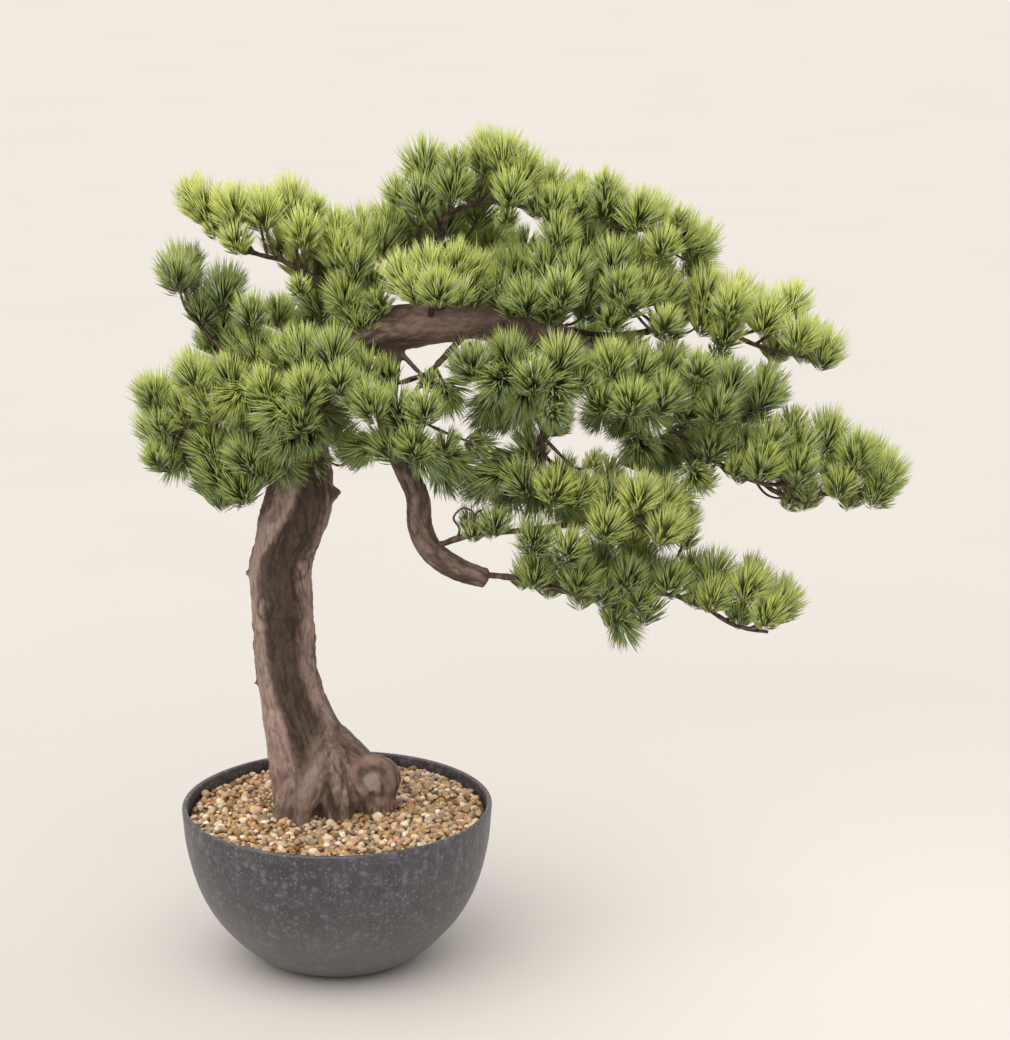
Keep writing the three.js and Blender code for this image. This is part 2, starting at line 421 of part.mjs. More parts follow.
    lobes: [
      [201.1, 60.5, 305.8, 36.3, 34.8, 32.6, 0.683, -0.522, -0.144, -0.49],
      [230.7, 45, 303.4, 29.1, 19.8, 19.8, -0.399, 0.586, 0.691, 0.139],
      [172.1, 56, 301.9, 28.2, 19.8, 19.8, 0.047, 0.707, 0.678, -0.198],
      [220.4, 56.5, 345.5, 30.4, 19.8, 19.8, -0.703, -0.005, 0.27, 0.658],
      [185.6, 52, 370.4, 25.5, 15.7, 15.7, -0.265, -0.656, 0.656, 0.262],
    ],
    bridges: [[224.3, 62.5, 326.8, 11.2], [201.8, 48, 360.2, 11.2]],
  },
  {
    name: 'back_left_low',
    stem: [[-20.8, 8, 366.3], [-32, 34, 368.5], [-50.7, 46, 365.7], [-72.7, 44, 359.1], [-88.6, 36, 355.4]],
    twigs: [[0.12, 13.7, -10.5, 362.5, 0.24, -0.35, 0.91]],
    lobes: [
      [-99.5, 30, 361, 26.8, 19.5, 19.5, -0.18, 0.684, -0.684, -0.18],
      [-57, 55.5, 363.1, 39.6, 29.7, 24.5, -0.802, 0.126, 0.167, 0.559],
      [-70.8, 40, 340.2, 30, 19.8, 19.8, -0.012, -0.041, 0.985, -0.169],
      [0.5, -6, 359.5, 33.2, 19, 19, 0.656, -0.278, 0.005, 0.702],
      [-6.6, 40.5, 356.8, 29.9, 17.3, 17.3, -0.32, -0.571, 0.621, -0.431],
    ],
    bridges: [[-24.5, 45, 348.3, 12.4], [-13.2, 19, 348.2, 18.8]],
  },
];

// ------------------------------------------------------------------ helpers
const wasm = await Module();
wasm.setup();
const { Manifold, Mesh } = wasm;

// repeatable pseudo-random number in 0..1 from two integers
function rnd(i, j) {
  const s = Math.sin(i * 127.1 + j * 311.7 + 17.3) * 43758.5453;
  return s - Math.floor(s);
}

// position-only geometry with shared vertices and no degenerate faces
function weld(geometry) {
  const g = geometry.clone();
  g.deleteAttribute('normal');
  g.deleteAttribute('uv');
  const m = mergeVertices(g, 1e-4);
  const idx = m.index.array;
  const keep = [];
  for (let i = 0; i < idx.length; i += 3) {
    const [a, b, c] = [idx[i], idx[i + 1], idx[i + 2]];
    if (a !== b && b !== c && a !== c) keep.push(a, b, c);
  }
  m.setIndex(keep);
  return m;
}

function solid(geometry) {
  const g = weld(geometry);
  return new Manifold(new Mesh({
    numProp: 3,
    vertProperties: new Float32Array(g.attributes.position.array),
    triVerts: new Uint32Array(g.index.array),
  }));
}

function toGeometry(manifold) {
  const m = manifold.getMesh();
  const g = new THREE.BufferGeometry();
  g.setAttribute('position', new THREE.BufferAttribute(new Float32Array(m.vertProperties), 3));
  g.setIndex(new THREE.BufferAttribute(new Uint32Array(m.triVerts), 1));
  g.computeVertexNormals();
  return g;
}

function union(list) {
  let out = list[0];
  for (let i = 1; i < list.length; i++) out = out.add(list[i]);
  return out;
}

function largest(manifold) {
  const parts = manifold.decompose();
  let best = parts[0];
  for (const p of parts) if (p.volume() > best.volume()) best = p;
  return best;
}

// whether the solid touches itself along an edge or in a point
function touchesItself(manifold) {
  const m = manifold.getMesh();
  const id = new Map();
  const of = [];
  for (let i = 0; i < m.vertProperties.length; i += 3) {
    const key = [0, 1, 2].map((k) => Math.round(m.vertProperties[i + k] * 500)).join(',');
    if (!id.has(key)) id.set(key, id.size);
    of.push(id.get(key));
  }
  if (id.size < of.length) return true;
  const edges = new Map();
  for (let i = 0; i < m.triVerts.length; i += 3) {
    for (let k = 0; k < 3; k++) {
      const [p, q] = [of[m.triVerts[i + k]], of[m.triVerts[i + ((k + 1) % 3)]]];
      const key = p < q ? `${p},${q}` : `${q},${p}`;
      edges.set(key, (edges.get(key) || 0) + 1);
    }
  }
  for (const n of edges.values()) if (n !== 2) return true;
  return false;
}

function boxesMeet(a, b) {
  const p = a.boundingBox();
  const q = b.boundingBox();
  for (let k = 0; k < 3; k++) {
    if (p.min[k] > q.max[k] || q.min[k] > p.max[k]) return false;
  }
  return true;
}

function smoothCurve(points) {
  return new THREE.CatmullRomCurve3(
    points.map((p) => new THREE.Vector3(p[0], p[1], p[2])), false, 'catmullrom', 0.5);
}

// A round bar bent along a curve: a CylinderGeometry whose rings are carried
// along the curve by a frame that doesn't twist. radius(t, angle) in mm.
function sweep(points, radius, sides, steps) {
  const curve = smoothCurve(points);
  const centre = [];
  const tangent = [];
  for (let i = 0; i <= steps; i++) {
    centre.push(curve.getPoint(i / steps));
    tangent.push(curve.getTangent(i / steps));
  }
  const normal = [];
  const first = Math.abs(tangent[0].y) < 0.9 ? new THREE.Vector3(0, -1, 0) : new THREE.Vector3(1, 0, 0);
  let n = first.sub(tangent[0].clone().multiplyScalar(first.dot(tangent[0]))).normalize();
  for (let i = 0; i <= steps; i++) {
    n = n.clone().sub(tangent[i].clone().multiplyScalar(n.dot(tangent[i]))).normalize();
    normal.push(n);
  }
  const g = weld(new THREE.CylinderGeometry(1, 1, 1, sides, steps, false));
  const pos = g.attributes.position;
  const side = new THREE.Vector3();
  for (let i = 0; i < pos.count; i++) {
    const k = Math.round((pos.getY(i) + 0.5) * steps);
    const x = pos.getX(i);
    const z = pos.getZ(i);
    const r = Math.hypot(x, z) < 0.5 ? 0 : radius(k / steps, Math.atan2(z, x));
    side.crossVectors(normal[k], tangent[k]);
    const p = centre[k].clone();
    if (r > 0) p.addScaledVector(normal[k], x * r).addScaledVector(side, z * r);
    pos.setXYZ(i, p.x, p.y, p.z);
  }
  return g;
}

// radius along a list of [x, y, z, radius] points, as the curve's own parameter runs
function radiusAt(points, t) {
  const f = t * (points.length - 1);
  const i = Math.min(Math.floor(f), points.length - 2);
  return points[i][3] + (points[i + 1][3] - points[i][3]) * (f - i);
}

// ---------------------------------------------------------------------- bowl
// inside of the bowl at a height
function insideRadius(z) {
  for (let i = 1; i < POT_OUTSIDE.length - 1; i++) {
    const [r0, z0] = POT_OUTSIDE[i - 1];
    const [r1, z1] = POT_OUTSIDE[i];
    if (z <= z1) {
      const r = r0 + ((r1 - r0) * (z - z0)) / (z1 - z0);
      const slope = Math.atan2(r1 - r0, z1 - z0);
      return r - POT_WALL / Math.cos(slope);
    }
  }
  return POT_OUTSIDE[POT_OUTSIDE.length - 2][0] - POT_WALL;
}

const INSIDE_HEIGHTS = [POT_FLOOR, 13, 24, 39, 59, 83];

function pot() {
  const profile = [[0, 0], ...POT_OUTSIDE, [104.6, POT_HEIGHT], [103.5, 110.4]];
  for (const z of [...INSIDE_HEIGHTS].reverse()) profile.push([insideRadius(z), z]);
  profile.push([0, POT_FLOOR]);
  return upright(profile);
}

// a lathe turned about +Z
function upright(profile) {
  const g = new THREE.LatheGeometry(profile.map(([r, z]) => new THREE.Vector2(r, z)), POT_SEGMENTS);
  g.rotateX(Math.PI / 2);
  return g;
}

function plantingBlock() {
  const profile = [[0, POT_FLOOR + GAP]];
  for (const z of INSIDE_HEIGHTS) profile.push([insideRadius(z) - GAP - 0.25, Math.max(z, POT_FLOOR + GAP)]);
  profile.push([insideRadius(SOIL_TOP) - GAP - 0.25, SOIL_TOP], [0, SOIL_TOP]);
  return upright(profile);
}

function gravelBed() {
  const r = insideRadius(POT_HEIGHT - 2) - GAP - 0.9;
  const rings = [r, r * 0.82, r * 0.64, r * 0.46, r * 0.26];
  const bottom = SOIL_TOP + GAP;
  const profile = [[0, bottom], [r - 0.6, bottom], ...rings.map((q) => [q, GRAVEL_TOP]), [0, GRAVEL_TOP]];
  const g = weld(upright(profile));
  const pos = g.attributes.position;
  for (let i = 0; i < pos.count; i++) {
    if (pos.getZ(i) > GRAVEL_TOP - 0.5) {
      pos.setZ(i, GRAVEL_TOP + (rnd(i, 5) * 2 - 1) * GRAVEL_BUMP);
    }
  }
  return g;
}

// --------------------------------------------------------------------- trunk
function trunkSolid(grow) {
  const parts = [];
  const trunk = LIMBS.trunk;
  parts.push(solid(sweep(trunk, (t, a) => {
    const flute = 0.045 * Math.sin(3 * a + 5 * t) + 0.03 * Math.sin(5 * a - 7 * t + 1);
    return radiusAt(trunk, t) * (1 + flute) + grow;
  }, 12, 22)));
  const bars = [
    ['droop', 8, 14], ['prop', 5, 3], ['upper', 7, 3], ['left', 7, 4], ['back', 7, 4], ['burl', 10, 5],
    ['root_left', 7, 3], ['root_front', 7, 3], ['root_mid', 7, 3], ['root_back', 7, 3], ['root_back_right', 7, 3],
  ];
  for (const [name, sides, steps] of bars) {
    const pts = LIMBS[name];
    parts.push(solid(sweep(pts, (t) => radiusAt(pts, t) + grow, sides, steps)));
  }
  // knuckle of the burl
  const knot = new THREE.IcosahedronGeometry(1, 1);
  knot.scale(19 + grow, 17 + grow, 18.5 + grow);
  knot.translate(25, 1, 128);
  parts.push(solid(knot));
  // pointed stub and two small nubs where twigs broke off
  // as [x of the tip, y, z, radius at the foot, length, direction along x]
  const spikes = [[5, 4, 332, 12.5, 13, 1], [-61.4, 13, 273.5, 5, 10, -1], [-58.6, 13, 194, 4.5, 10, -1]];
  for (const [tip, y, z, r, h, way] of spikes) {
    const cone = new THREE.ConeGeometry(r + grow, h + 2 * grow, 8);
    cone.rotateZ((-way * Math.PI) / 2);
    cone.translate(tip - (way * h) / 2, y, z);
    parts.push(solid(cone));
  }
  return union(parts);
}

// -------------------------------------------------------------------- sprays
function twigSolid(spray, grow) {
  const curve = smoothCurve(spray.stem);
  const steps = Math.max(4, Math.round(curve.getLength() / 26));
  const parts = [solid(sweep(spray.stem, (t) => STEM_R0 + (STEM_R1 - STEM_R0) * t + grow, 4, steps))];
  for (const [t, ex, ey, ez, ax, ay, az] of spray.twigs) {
    const root = curve.getPoint(t);
    const end = new THREE.Vector3(ex, ey, ez);
    const elbow = end.clone().addScaledVector(new THREE.Vector3(ax, ay, az), -0.45 * root.distanceTo(end));
    const mid = root.clone().multiplyScalar(0.25).addScaledVector(elbow, 0.5).addScaledVector(end, 0.25);
    const pts = [root, mid, end].map((p) => [p.x, p.y, p.z]);
    parts.push(solid(sweep(pts, () => TWIG_R + grow, 4, 2)));
  }
  return union(parts);
}

function lobe([x, y, z, rx, ry, rz, qx, qy, qz, qw], seed) {
  const g = new THREE.IcosahedronGeometry(1, 0);
  g.rotateX(rnd(seed, 1) * 3);
  g.rotateZ(rnd(seed, 2) * 3);
  g.scale(rx, ry, rz);
  g.applyQuaternion(new THREE.Quaternion(qx, qy, qz, qw).normalize());
  g.translate(x, y, z);
  return solid(g);
}

function padSolid(spray, number, grow) {
  const parts = spray.lobes.map((q, i) => lobe(q.map((v, k) => (k > 2 && k < 6 ? v + grow : v)), number * 40 + i));
  spray.bridges.forEach(([x, y, z, r], i) => {
    parts.push(lobe([x, y, z, r + grow, r + grow, r + grow, 0, 0, 0, 1], number * 40 + 30 + i));
  });
  return union(parts);
}

// ------------------------------------------------------------------ assembly
const tree = new THREE.Group();

function addPiece(name, geometry, colour, roughness) {
  const mesh = new THREE.Mesh(geometry, new THREE.MeshStandardMaterial({ color: colour, roughness, metalness: 0 }));
  mesh.name = name;
  tree.add(mesh);
}

const wood = trunkSolid(0);
const woodRoom = trunkSolid(GAP);
const twigs = SPRAYS.map((s) => twigSolid(s, 0));
const rooms = new Map();
function twigRoomAt(grow) {
  if (!rooms.has(grow)) rooms.set(grow, SPRAYS.map((s) => twigSolid(s, grow)));
  return rooms.get(grow);
}

// sockets for the stems in the limbs
let trunkPiece = wood;
for (const room of twigRoomAt(GAP + 0.1)) if (boxesMeet(trunkPiece, room)) trunkPiece = trunkPiece.subtract(room);
trunkPiece = largest(trunkPiece);

addPiece('pot', toGeometry(solid(pot())), 0x48474c, 0.6);
addPiece('planting_block', toGeometry(largest(solid(plantingBlock()).subtract(woodRoom))), 0x3b2f27, 0.95);
addPiece('gravel', toGeometry(largest(solid(gravelBed()).subtract(woodRoom))), 0xb08a5c, 0.85);
addPiece('trunk', toGeometry(trunkPiece), 0x67504a, 0.85);

// Pads lie PAD_GAP apart where they meet, which leaves room to drop slivers.
const woodRoomWide = trunkSolid(PAD_GAP);
const pads = [];
const padRooms = [];
SPRAYS.forEach((spray, i) => {
  let pad = padSolid(spray, i, 0);
  if (boxesMeet(pad, woodRoomWide)) pad = pad.subtract(woodRoomWide);
  for (const room of padRooms) if (boxesMeet(pad, room)) pad = pad.subtract(room);
  pad = largest(largest(pad).asOriginal().simplify(PAD_TOLERANCE));
  let clear = pad;
  for (const extra of [0.1, 0.16, 0.22, 0.28, 0.36]) {
    clear = pad;
    for (const room of twigRoomAt(GAP + extra)) if (boxesMeet(clear, room)) clear = clear.subtract(room);
    clear = largest(largest(clear).asOriginal().simplify(0.06));
    if (!touchesItself(clear)) break;
  }
  pads.push(clear);
  padRooms.push(padSolid(spray, i, PAD_GAP));
});

SPRAYS.forEach((spray, i) => {
  addPiece(`twigs_${spray.name}`, toGeometry(twigs[i]), 0x5d4b3f, 0.85);
  addPiece(`needles_${spray.name}`, toGeometry(pads[i]), 0x6f8f3f, 0.6);
});

export default tree;
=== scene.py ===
"""Looks of the pine bonsai: bark, sprays, needles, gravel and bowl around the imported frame."""

import math

import bpy
import numpy as np
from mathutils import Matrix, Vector


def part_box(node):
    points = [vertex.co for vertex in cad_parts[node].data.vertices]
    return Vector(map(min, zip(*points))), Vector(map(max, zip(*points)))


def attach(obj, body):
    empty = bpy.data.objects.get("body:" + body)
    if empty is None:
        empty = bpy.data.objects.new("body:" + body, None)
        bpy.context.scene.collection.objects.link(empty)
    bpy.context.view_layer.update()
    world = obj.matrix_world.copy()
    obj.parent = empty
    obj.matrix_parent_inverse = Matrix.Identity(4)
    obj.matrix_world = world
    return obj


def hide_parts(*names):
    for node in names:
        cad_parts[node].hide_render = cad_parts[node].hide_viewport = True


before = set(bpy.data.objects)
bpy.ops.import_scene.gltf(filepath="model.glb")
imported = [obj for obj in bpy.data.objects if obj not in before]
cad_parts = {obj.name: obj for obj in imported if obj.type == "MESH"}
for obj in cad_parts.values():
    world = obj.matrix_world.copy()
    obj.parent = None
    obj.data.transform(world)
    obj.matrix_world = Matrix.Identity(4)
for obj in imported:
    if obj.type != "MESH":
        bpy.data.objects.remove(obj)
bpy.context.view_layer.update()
MM = 0.001

# every limb: centre line x, y, z and radius, in millimetres
LIMBS = {
    "trunk": [(-19.2, 6, 82.4, 24.46), (-20.2, 8, 109.8, 25.1), (-22.7, 10, 137.1, 25.39), (-25.5, 11, 161.7, 24.98), (-30.4, 12, 181.7, 22.57), (-34.3, 13, 199.6, 21.01), (-35.9, 14, 217.3, 20.84), (-36, 14, 236.8, 21.2), (-36.5, 14, 254.7, 21.3), (-36.6, 13, 274.3, 20.96), (-34.8, 12, 289.5, 20.91), (-30.5, 11, 303.9, 22.5), (-26.5, 10, 316.8, 23.48), (-23.4, 8, 329.3, 22.74), (-21.1, 7, 343.5, 20.32), (-20.7, 5, 361.4, 18.23), (-20.1, 2, 382.9, 16.81), (-15.6, 0, 403.3, 16.42), (-5.1, -2, 422.2, 16.03), (11.2, -4, 436.2, 15.65), (29.3, -5, 444.5, 15.56), (48.6, -5, 447.9, 15.69), (67.9, -5, 450.6, 14.62), (89.2, -4, 453.1, 13.62), (110.4, -2, 456.1, 12.63), (131.7, 0, 451, 11.32), (154.5, 2, 437, 10.02), (176, 3, 423.2, 9.04), (192.2, 4, 414.1, 8.05)],
    "droop": [(42.6, -5, 445.9, 9.31), (39.9, -8, 431.6, 8.65), (37.9, -11, 414.5, 8.12), (37.8, -14, 394.8, 8), (41, -17, 374.9, 8), (49.6, -20, 355.1, 7.75), (58.2, -23, 335.9, 7.89), (59.5, -26, 316.6, 8.7), (66.8, -28, 300.8, 8.57), (83.6, -30, 288.5, 8.18), (103.7, -30, 281.2, 7.04)],
    "prop": [(37.3, -6, 440.7, 5.32), (46, -10, 432.7, 2.79), (55.3, -14, 423.3, 2.12), (65.3, -18, 414, 1.72)],
    "upper": [(62.5, -3, 453.6, 9.31), (66.5, 2, 467.5, 7.98), (69.2, 6, 481.6, 6.99), (71.2, 8, 494.7, 6.32)],
    "left": [(-17.3, 0, 384.7, 9.74), (-22.2, -14, 394.1, 8.66), (-31, -29, 402.2, 7.93), (-42.1, -38, 405.6, 7.24)],
    "back": [(73.1, -2, 450.7, 9.32), (87.4, 22, 443.2, 8.08), (99.4, 46, 435.7, 7.16), (113, 68, 428.5, 6.21)],
    "burl": [(-18, 10, 178, 12.5), (-10, 8, 160, 14), (2, 6, 145, 15.5), (14, 4, 132, 16.5), (23, 2, 118, 16.5), (27, 1, 102, 14.5), (29, 1, 88, 12)],
    "root_left": [(-24, 2, 152, 12.5), (-30, -4, 128, 11), (-35, -10, 112, 8.5), (-41, -15, 92, 5)],
    "root_front": [(-8, -4, 156, 11), (-14, -12, 134, 10.5), (-22, -19, 116, 9), (-29, -25, 96, 6)],
    "root_mid": [(-4, -4, 150, 13), (-1, -10, 130, 12.5), (2, -15, 112, 11.5), (4, -18, 92, 9)],
    "root_back": [(-24, 18, 140, 12.5), (-30, 30, 120, 10.5), (-36, 40, 104, 7.5), (-42, 48, 88, 5)],
    "root_back_right": [(-8, 20, 142, 12.5), (4, 32, 122, 11), (16, 42, 105, 8), (24, 50, 88, 5)],
}
# every spray: stem points, then tufts as centre x, y, z, radius, axis x, y, z and the place on the stem where its side twig starts
SPRAYS = {
    "apex": (
        [(70.5, 8, 489.3), (72.6, 5, 507.3), (79.4, 3, 521.6), (93.3, 0, 528.8), (110.5, -2, 531.1), (127.6, -4, 528.1), (144.7, -5, 520.3), (154, -5, 514.3)],
        [
            (63.3, -4, 559.1, 20, -0.117, -0.06, 0.991, 0.18), (81.9, -24, 548.9, 18, -0.019, -0.271, 0.962, 0.29),
            (105.2, 0, 566.4, 20, 0.094, -0.003, 0.996, 0.41), (116.4, -14, 567.1, 18, 0.137, -0.117, 0.984, 0.46),
            (46.1, -6, 541, 14, -0.248, -0.09, 0.965, 0.11), (98.4, 22, 540.7, 19, 0.121, 0.302, 0.946, 0.37),
            (128.8, -14, 557.3, 19, 0.183, -0.136, 0.974, 0.57), (120.9, -30, 545.9, 17, 0.132, -0.342, 0.93, 0.55),
            (146.1, 2, 543.7, 18.5, 0.281, 0.085, 0.956, 0.71), (60.3, -18, 540.1, 18, -0.164, -0.211, 0.964, 0.16),
            (73.1, 24, 543.1, 18, -0.059, 0.214, 0.975, 0.2), (118.4, 24, 547.1, 18, 0.177, 0.291, 0.94, 0.49),
            (149.7, -20, 535.2, 16, 0.256, -0.269, 0.928, 0.77), (152.2, -28, 516.8, 18, 0.215, -0.461, 0.861, 0.83),
            (117.7, -17, 525.5, 10.5, 0.101, -0.483, 0.87, 0.6), (138, -16, 535.2, 15, 0.219, -0.281, 0.934, 0.72),
            (84, -25, 562.1, 13.5, -0.001, -0.216, 0.976, 0.28),
        ],
    ),
    "upper_left": (
        [(35.9, -3, 450.9), (14.9, -4, 465.9), (-7.3, -6, 479.7), (-29, -6, 491.8), (-50.6, -6, 497.8), (-65.1, -6, 501.8)],
        [
            (-82.3, -4, 533.4, 20, -0.336, 0.012, 0.942, 0.79), (-60.8, -24, 534.5, 19, -0.19, -0.16, 0.969, 0.78),
            (-69.1, 16, 525.6, 19, -0.266, 0.208, 0.941, 0.8), (-42.1, -22, 531.6, 19, -0.153, -0.147, 0.977, 0.65),
            (-47.6, 14, 526.6, 18, -0.163, 0.194, 0.967, 0.7), (-24.9, -6, 535.7, 20, -0.125, -0.004, 0.992, 0.51),
            (-91.9, 8, 537.5, 13.5, -0.366, 0.083, 0.927, 0.74), (5.2, -8, 518.8, 15, -0.048, -0.027, 0.998, 0.33),
            (-16.6, -26, 519.1, 18, -0.113, -0.19, 0.975, 0.46), (-7.7, 8, 508.1, 19, -0.072, 0.166, 0.984, 0.42),
            (6.5, -12, 503.5, 19, -0.058, -0.086, 0.995, 0.3), (-59.5, -30, 513.8, 15, -0.205, -0.325, 0.923, 0.81),
            (-34.8, 14, 503.8, 15, -0.211, 0.319, 0.924, 0.59), (-21.3, 8, 491.3, 15, -0.215, 0.359, 0.908, 0.49),
            (-75.4, -11, 517.9, 10.5, -0.354, -0.073, 0.932, 0.87), (-8.3, -9, 530.2, 12, -0.076, -0.028, 0.997, 0.42),
            (-19.1, -28, 481.1, 10.5, -0.323, -0.409, 0.853, 0.4),
        ],
    ),
    "left_small": (
        [(-17.3, 2, 391.2), (-33.8, -6, 410.7), (-55.7, -12, 425.6), (-75.2, -13, 438.7), (-88.3, -11, 453.8), (-94.6, -10, 467.1)],
        [
            (-97.3, -10, 489.2, 20, -0.175, 0, 0.985, 0.86), (-68.7, -16, 478.9, 19.5, 0.122, -0.072, 0.99, 0.81),
            (-72.5, -2, 454.7, 18, 0.006, 0.222, 0.975, 0.64), (-58.8, -18, 441.7, 17, -0.083, -0.147, 0.986, 0.44),
            (-83.7, -14, 463.8, 15, 0.097, -0.126, 0.987, 0.83), (-78.6, 3, 441.6, 16.5, -0.254, 0.39, 0.885, 0.58),
            (-50, -39, 465.9, 16.5, -0.07, -0.228, 0.971, 0.39), (-97.5, -45, 493.4, 16.5, -0.18, -0.242, 0.953, 0.75),
            (-71.4, 20, 471.6, 16.5, 0.012, 0.316, 0.949, 0.74), (-88.8, 12, 467, 13.5, -0.099, 0.38, 0.92, 0.85),
            (-93.9, 16, 492.6, 12, -0.154, 0.207, 0.966, 0.78), (-79.6, 13, 439.5, 15, -0.27, 0.416, 0.868, 0.55),
        ],
    ),
    "upper_right": (
        [(129.1, 2, 451.3), (150.5, 12, 476.5), (167.6, 12, 503.4), (187.4, 9, 511.3), (211.2, 7, 511.6), (233.7, 4, 505.5)],
        [
            (163, -8, 533.3, 18, 0.024, -0.181, 0.983, 0.36), (182.7, -8, 538, 20, 0.118, -0.186, 0.975, 0.48),
            (187.8, 24, 523.7, 19, 0.183, 0.261, 0.948, 0.53), (204.5, -22, 530.3, 18.5, 0.207, -0.316, 0.926, 0.62),
            (215.8, 8, 522.8, 19, 0.274, 0.025, 0.961, 0.77), (234.1, -10, 515.1, 18.5, 0.237, -0.322, 0.917, 0.94),
            (245.9, 8, 504.1, 19, 0.556, 0.091, 0.826, 0.95), (172, 28, 517, 17, 0.115, 0.3, 0.947, 0.4),
            (220.2, -26, 509.9, 17, 0.225, -0.457, 0.861, 0.79), (129.6, -4, 506.1, 12, -0.177, -0.144, 0.974, 0.2),
            (166.4, 27, 541.3, 10.5, 0.055, 0.135, 0.989, 0.35), (247.9, 34, 482.7, 18, 0.757, 0.599, -0.263, 0.85),
            (181.7, -15, 547.6, 10.5, 0.113, -0.195, 0.974, 0.44), (154.6, -5, 517, 16.5, -0.041, -0.21, 0.977, 0.32),
            (193.4, 27, 507.7, 18, 0.321, 0.414, 0.852, 0.55), (230.8, -19, 525.2, 10.5, 0.254, -0.31, 0.916, 0.84),
        ],
    ),
    "right_high": (
        [(146.4, 2, 440.4), (157.2, 8, 443.3), (182.7, 8, 439.9), (213.3, 4, 443.4), (239.7, 2, 452.6), (257, 0, 448.9), (277, -2, 437.8), (297.1, -3, 431.2), (317.1, -4, 427.3), (331.8, -5, 422.1)],
        [
            (250.1, -6, 475.7, 19.5, 0.259, -0.106, 0.96, 0.43), (266.8, -24, 470.4, 18.5, 0.318, -0.281, 0.905, 0.48),
            (272.3, 14, 468.6, 19, 0.395, 0.162, 0.904, 0.49), (290.4, -12, 460.7, 19.5, 0.353, -0.14, 0.925, 0.63),
            (291.8, 20, 456.6, 18.5, 0.357, 0.261, 0.897, 0.63), (308, 2, 466.1, 17.5, 0.329, 0.04, 0.944, 0.7),
            (310.7, -24, 448.3, 18.5, 0.298, -0.279, 0.913, 0.77), (319.9, 14, 436.6, 18.5, 0.328, 0.33, 0.885, 0.84),
            (330.2, -4, 434.8, 18.5, 0.396, 0.002, 0.918, 0.91), (237.3, 9, 463.5, 17.5, 0.209, 0.157, 0.965, 0.41),
            (264, -14, 448.3, 16.5, 0.317, -0.428, 0.846, 0.56), (224.7, -4, 453.1, 18, 0.087, -0.295, 0.951, 0.38),
            (191.4, 11, 453.6, 12, 0.174, 0.099, 0.98, 0.24), (300, 16, 432.1, 15, 0.354, 0.424, 0.833, 0.74),
            (202.7, -11, 440.3, 10.5, 0.284, -0.435, 0.855, 0.27),
        ],
    ),
    "far_right": (
        [(170.7, 7, 427.1), (184.5, 20, 423), (228.2, 20, 389.9), (266.1, 12, 361.1), (299.9, 4, 332.4), (329.3, 0, 332), (357.7, 0, 334.8)],
        [
            (333.6, -6, 378.5, 19, 0.23, -0.055, 0.972, 0.76), (364.7, 8, 355.8, 19, 0.335, 0.109, 0.936, 0.94),
            (351.7, -20, 368.8, 18.5, 0.223, -0.181, 0.958, 0.89), (372.8, -10, 351.2, 19.5, 0.426, -0.125, 0.896, 0.94),
            (341.6, 18, 349.9, 18, 0.254, 0.271, 0.928, 0.85), (374.3, 16, 340.6, 18, 0.49, 0.227, 0.842, 0.94),
            (341.6, -20, 348.2, 17, 0.279, -0.294, 0.914, 0.84), (320.4, 6, 333.3, 16, 0.269, 0.346, 0.899, 0.77),
            (351.8, 8, 332.8, 15, 0.312, 0.482, 0.819, 0.95), (368.5, -10, 338.8, 16, 0.494, -0.21, 0.843, 0.96),
            (278, 14, 349.5, 15, 0.33, 0.531, 0.78, 0.55), (308.6, 10, 333, 10.5, 0.359, 0.361, 0.861, 0.69),
            (311.2, 0, 328.5, 10.5, 0.482, -0.441, 0.758, 0.72), (318.4, -20, 340.6, 10.5, 0.243, -0.376, 0.894, 0.73),
        ],
    ),
    "left_tip": (
        [(-37, -36, 404.5), (-51.7, -34, 402), (-68.5, -26, 392), (-88, -18, 384.8), (-106, -14, 377), (-115.7, -12, 372.4)],
        [
            (-117.4, -12, 405.2, 19, -0.388, 0.043, 0.92, 0.65), (-97.9, -34, 402, 18, -0.424, -0.184, 0.887, 0.48),
            (-111.7, -20, 366.1, 18, -0.395, -0.484, 0.781, 0.86), (-105.8, 4, 353.3, 18, -0.242, 0.676, -0.696, 0.79),
            (-90.7, -6, 379.2, 18, -0.222, 0.527, 0.82, 0.62), (-121.8, 8, 378.7, 17, -0.396, 0.373, 0.839, 0.81),
            (-81.6, -32, 377.1, 18, -0.531, -0.405, 0.745, 0.46), (-116.3, -43, 413.4, 15, -0.409, -0.191, 0.892, 0.5),
            (-111.8, -42, 393.7, 13.5, -0.42, -0.31, 0.853, 0.59), (-114.5, -42, 369.3, 12, -0.423, -0.47, 0.775, 0.71),
            (-80.5, -42, 406.5, 18, -0.48, -0.193, 0.856, 0.27),
        ],
    ),
    "left_low": (
        [(-31.7, -29, 402.2), (-37.2, -37, 391.9), (-44, -37, 381), (-54.2, -30, 366.4), (-67.1, -22, 351.4), (-77, -18, 343.6)],
        [
            (-73.4, -14, 341.2, 18, -0.044, 0.53, 0.847, 0.96), (-59.2, -38, 348.6, 18.5, -0.335, -0.539, 0.773, 0.65),
            (-78.2, -30, 360.3, 18, -0.544, -0.14, 0.827, 0.71), (-55.9, -48, 372.1, 18, -0.511, -0.419, 0.75, 0.42),
            (-43.5, -32, 359.4, 17, 0.137, 0.003, 0.991, 0.52), (-68.7, 10, 346.3, 18, -0.19, 0.523, 0.831, 0.8),
            (-85.8, 4, 343.6, 16.5, -0.442, 0.417, 0.794, 0.83), (-27.6, -15, 352.5, 16.5, 0.381, 0.666, -0.641, 0.45),
            (-62.7, 15, 328.2, 12, -0.175, 0.885, -0.432, 0.75),
        ],
    ),
    "left_high": (
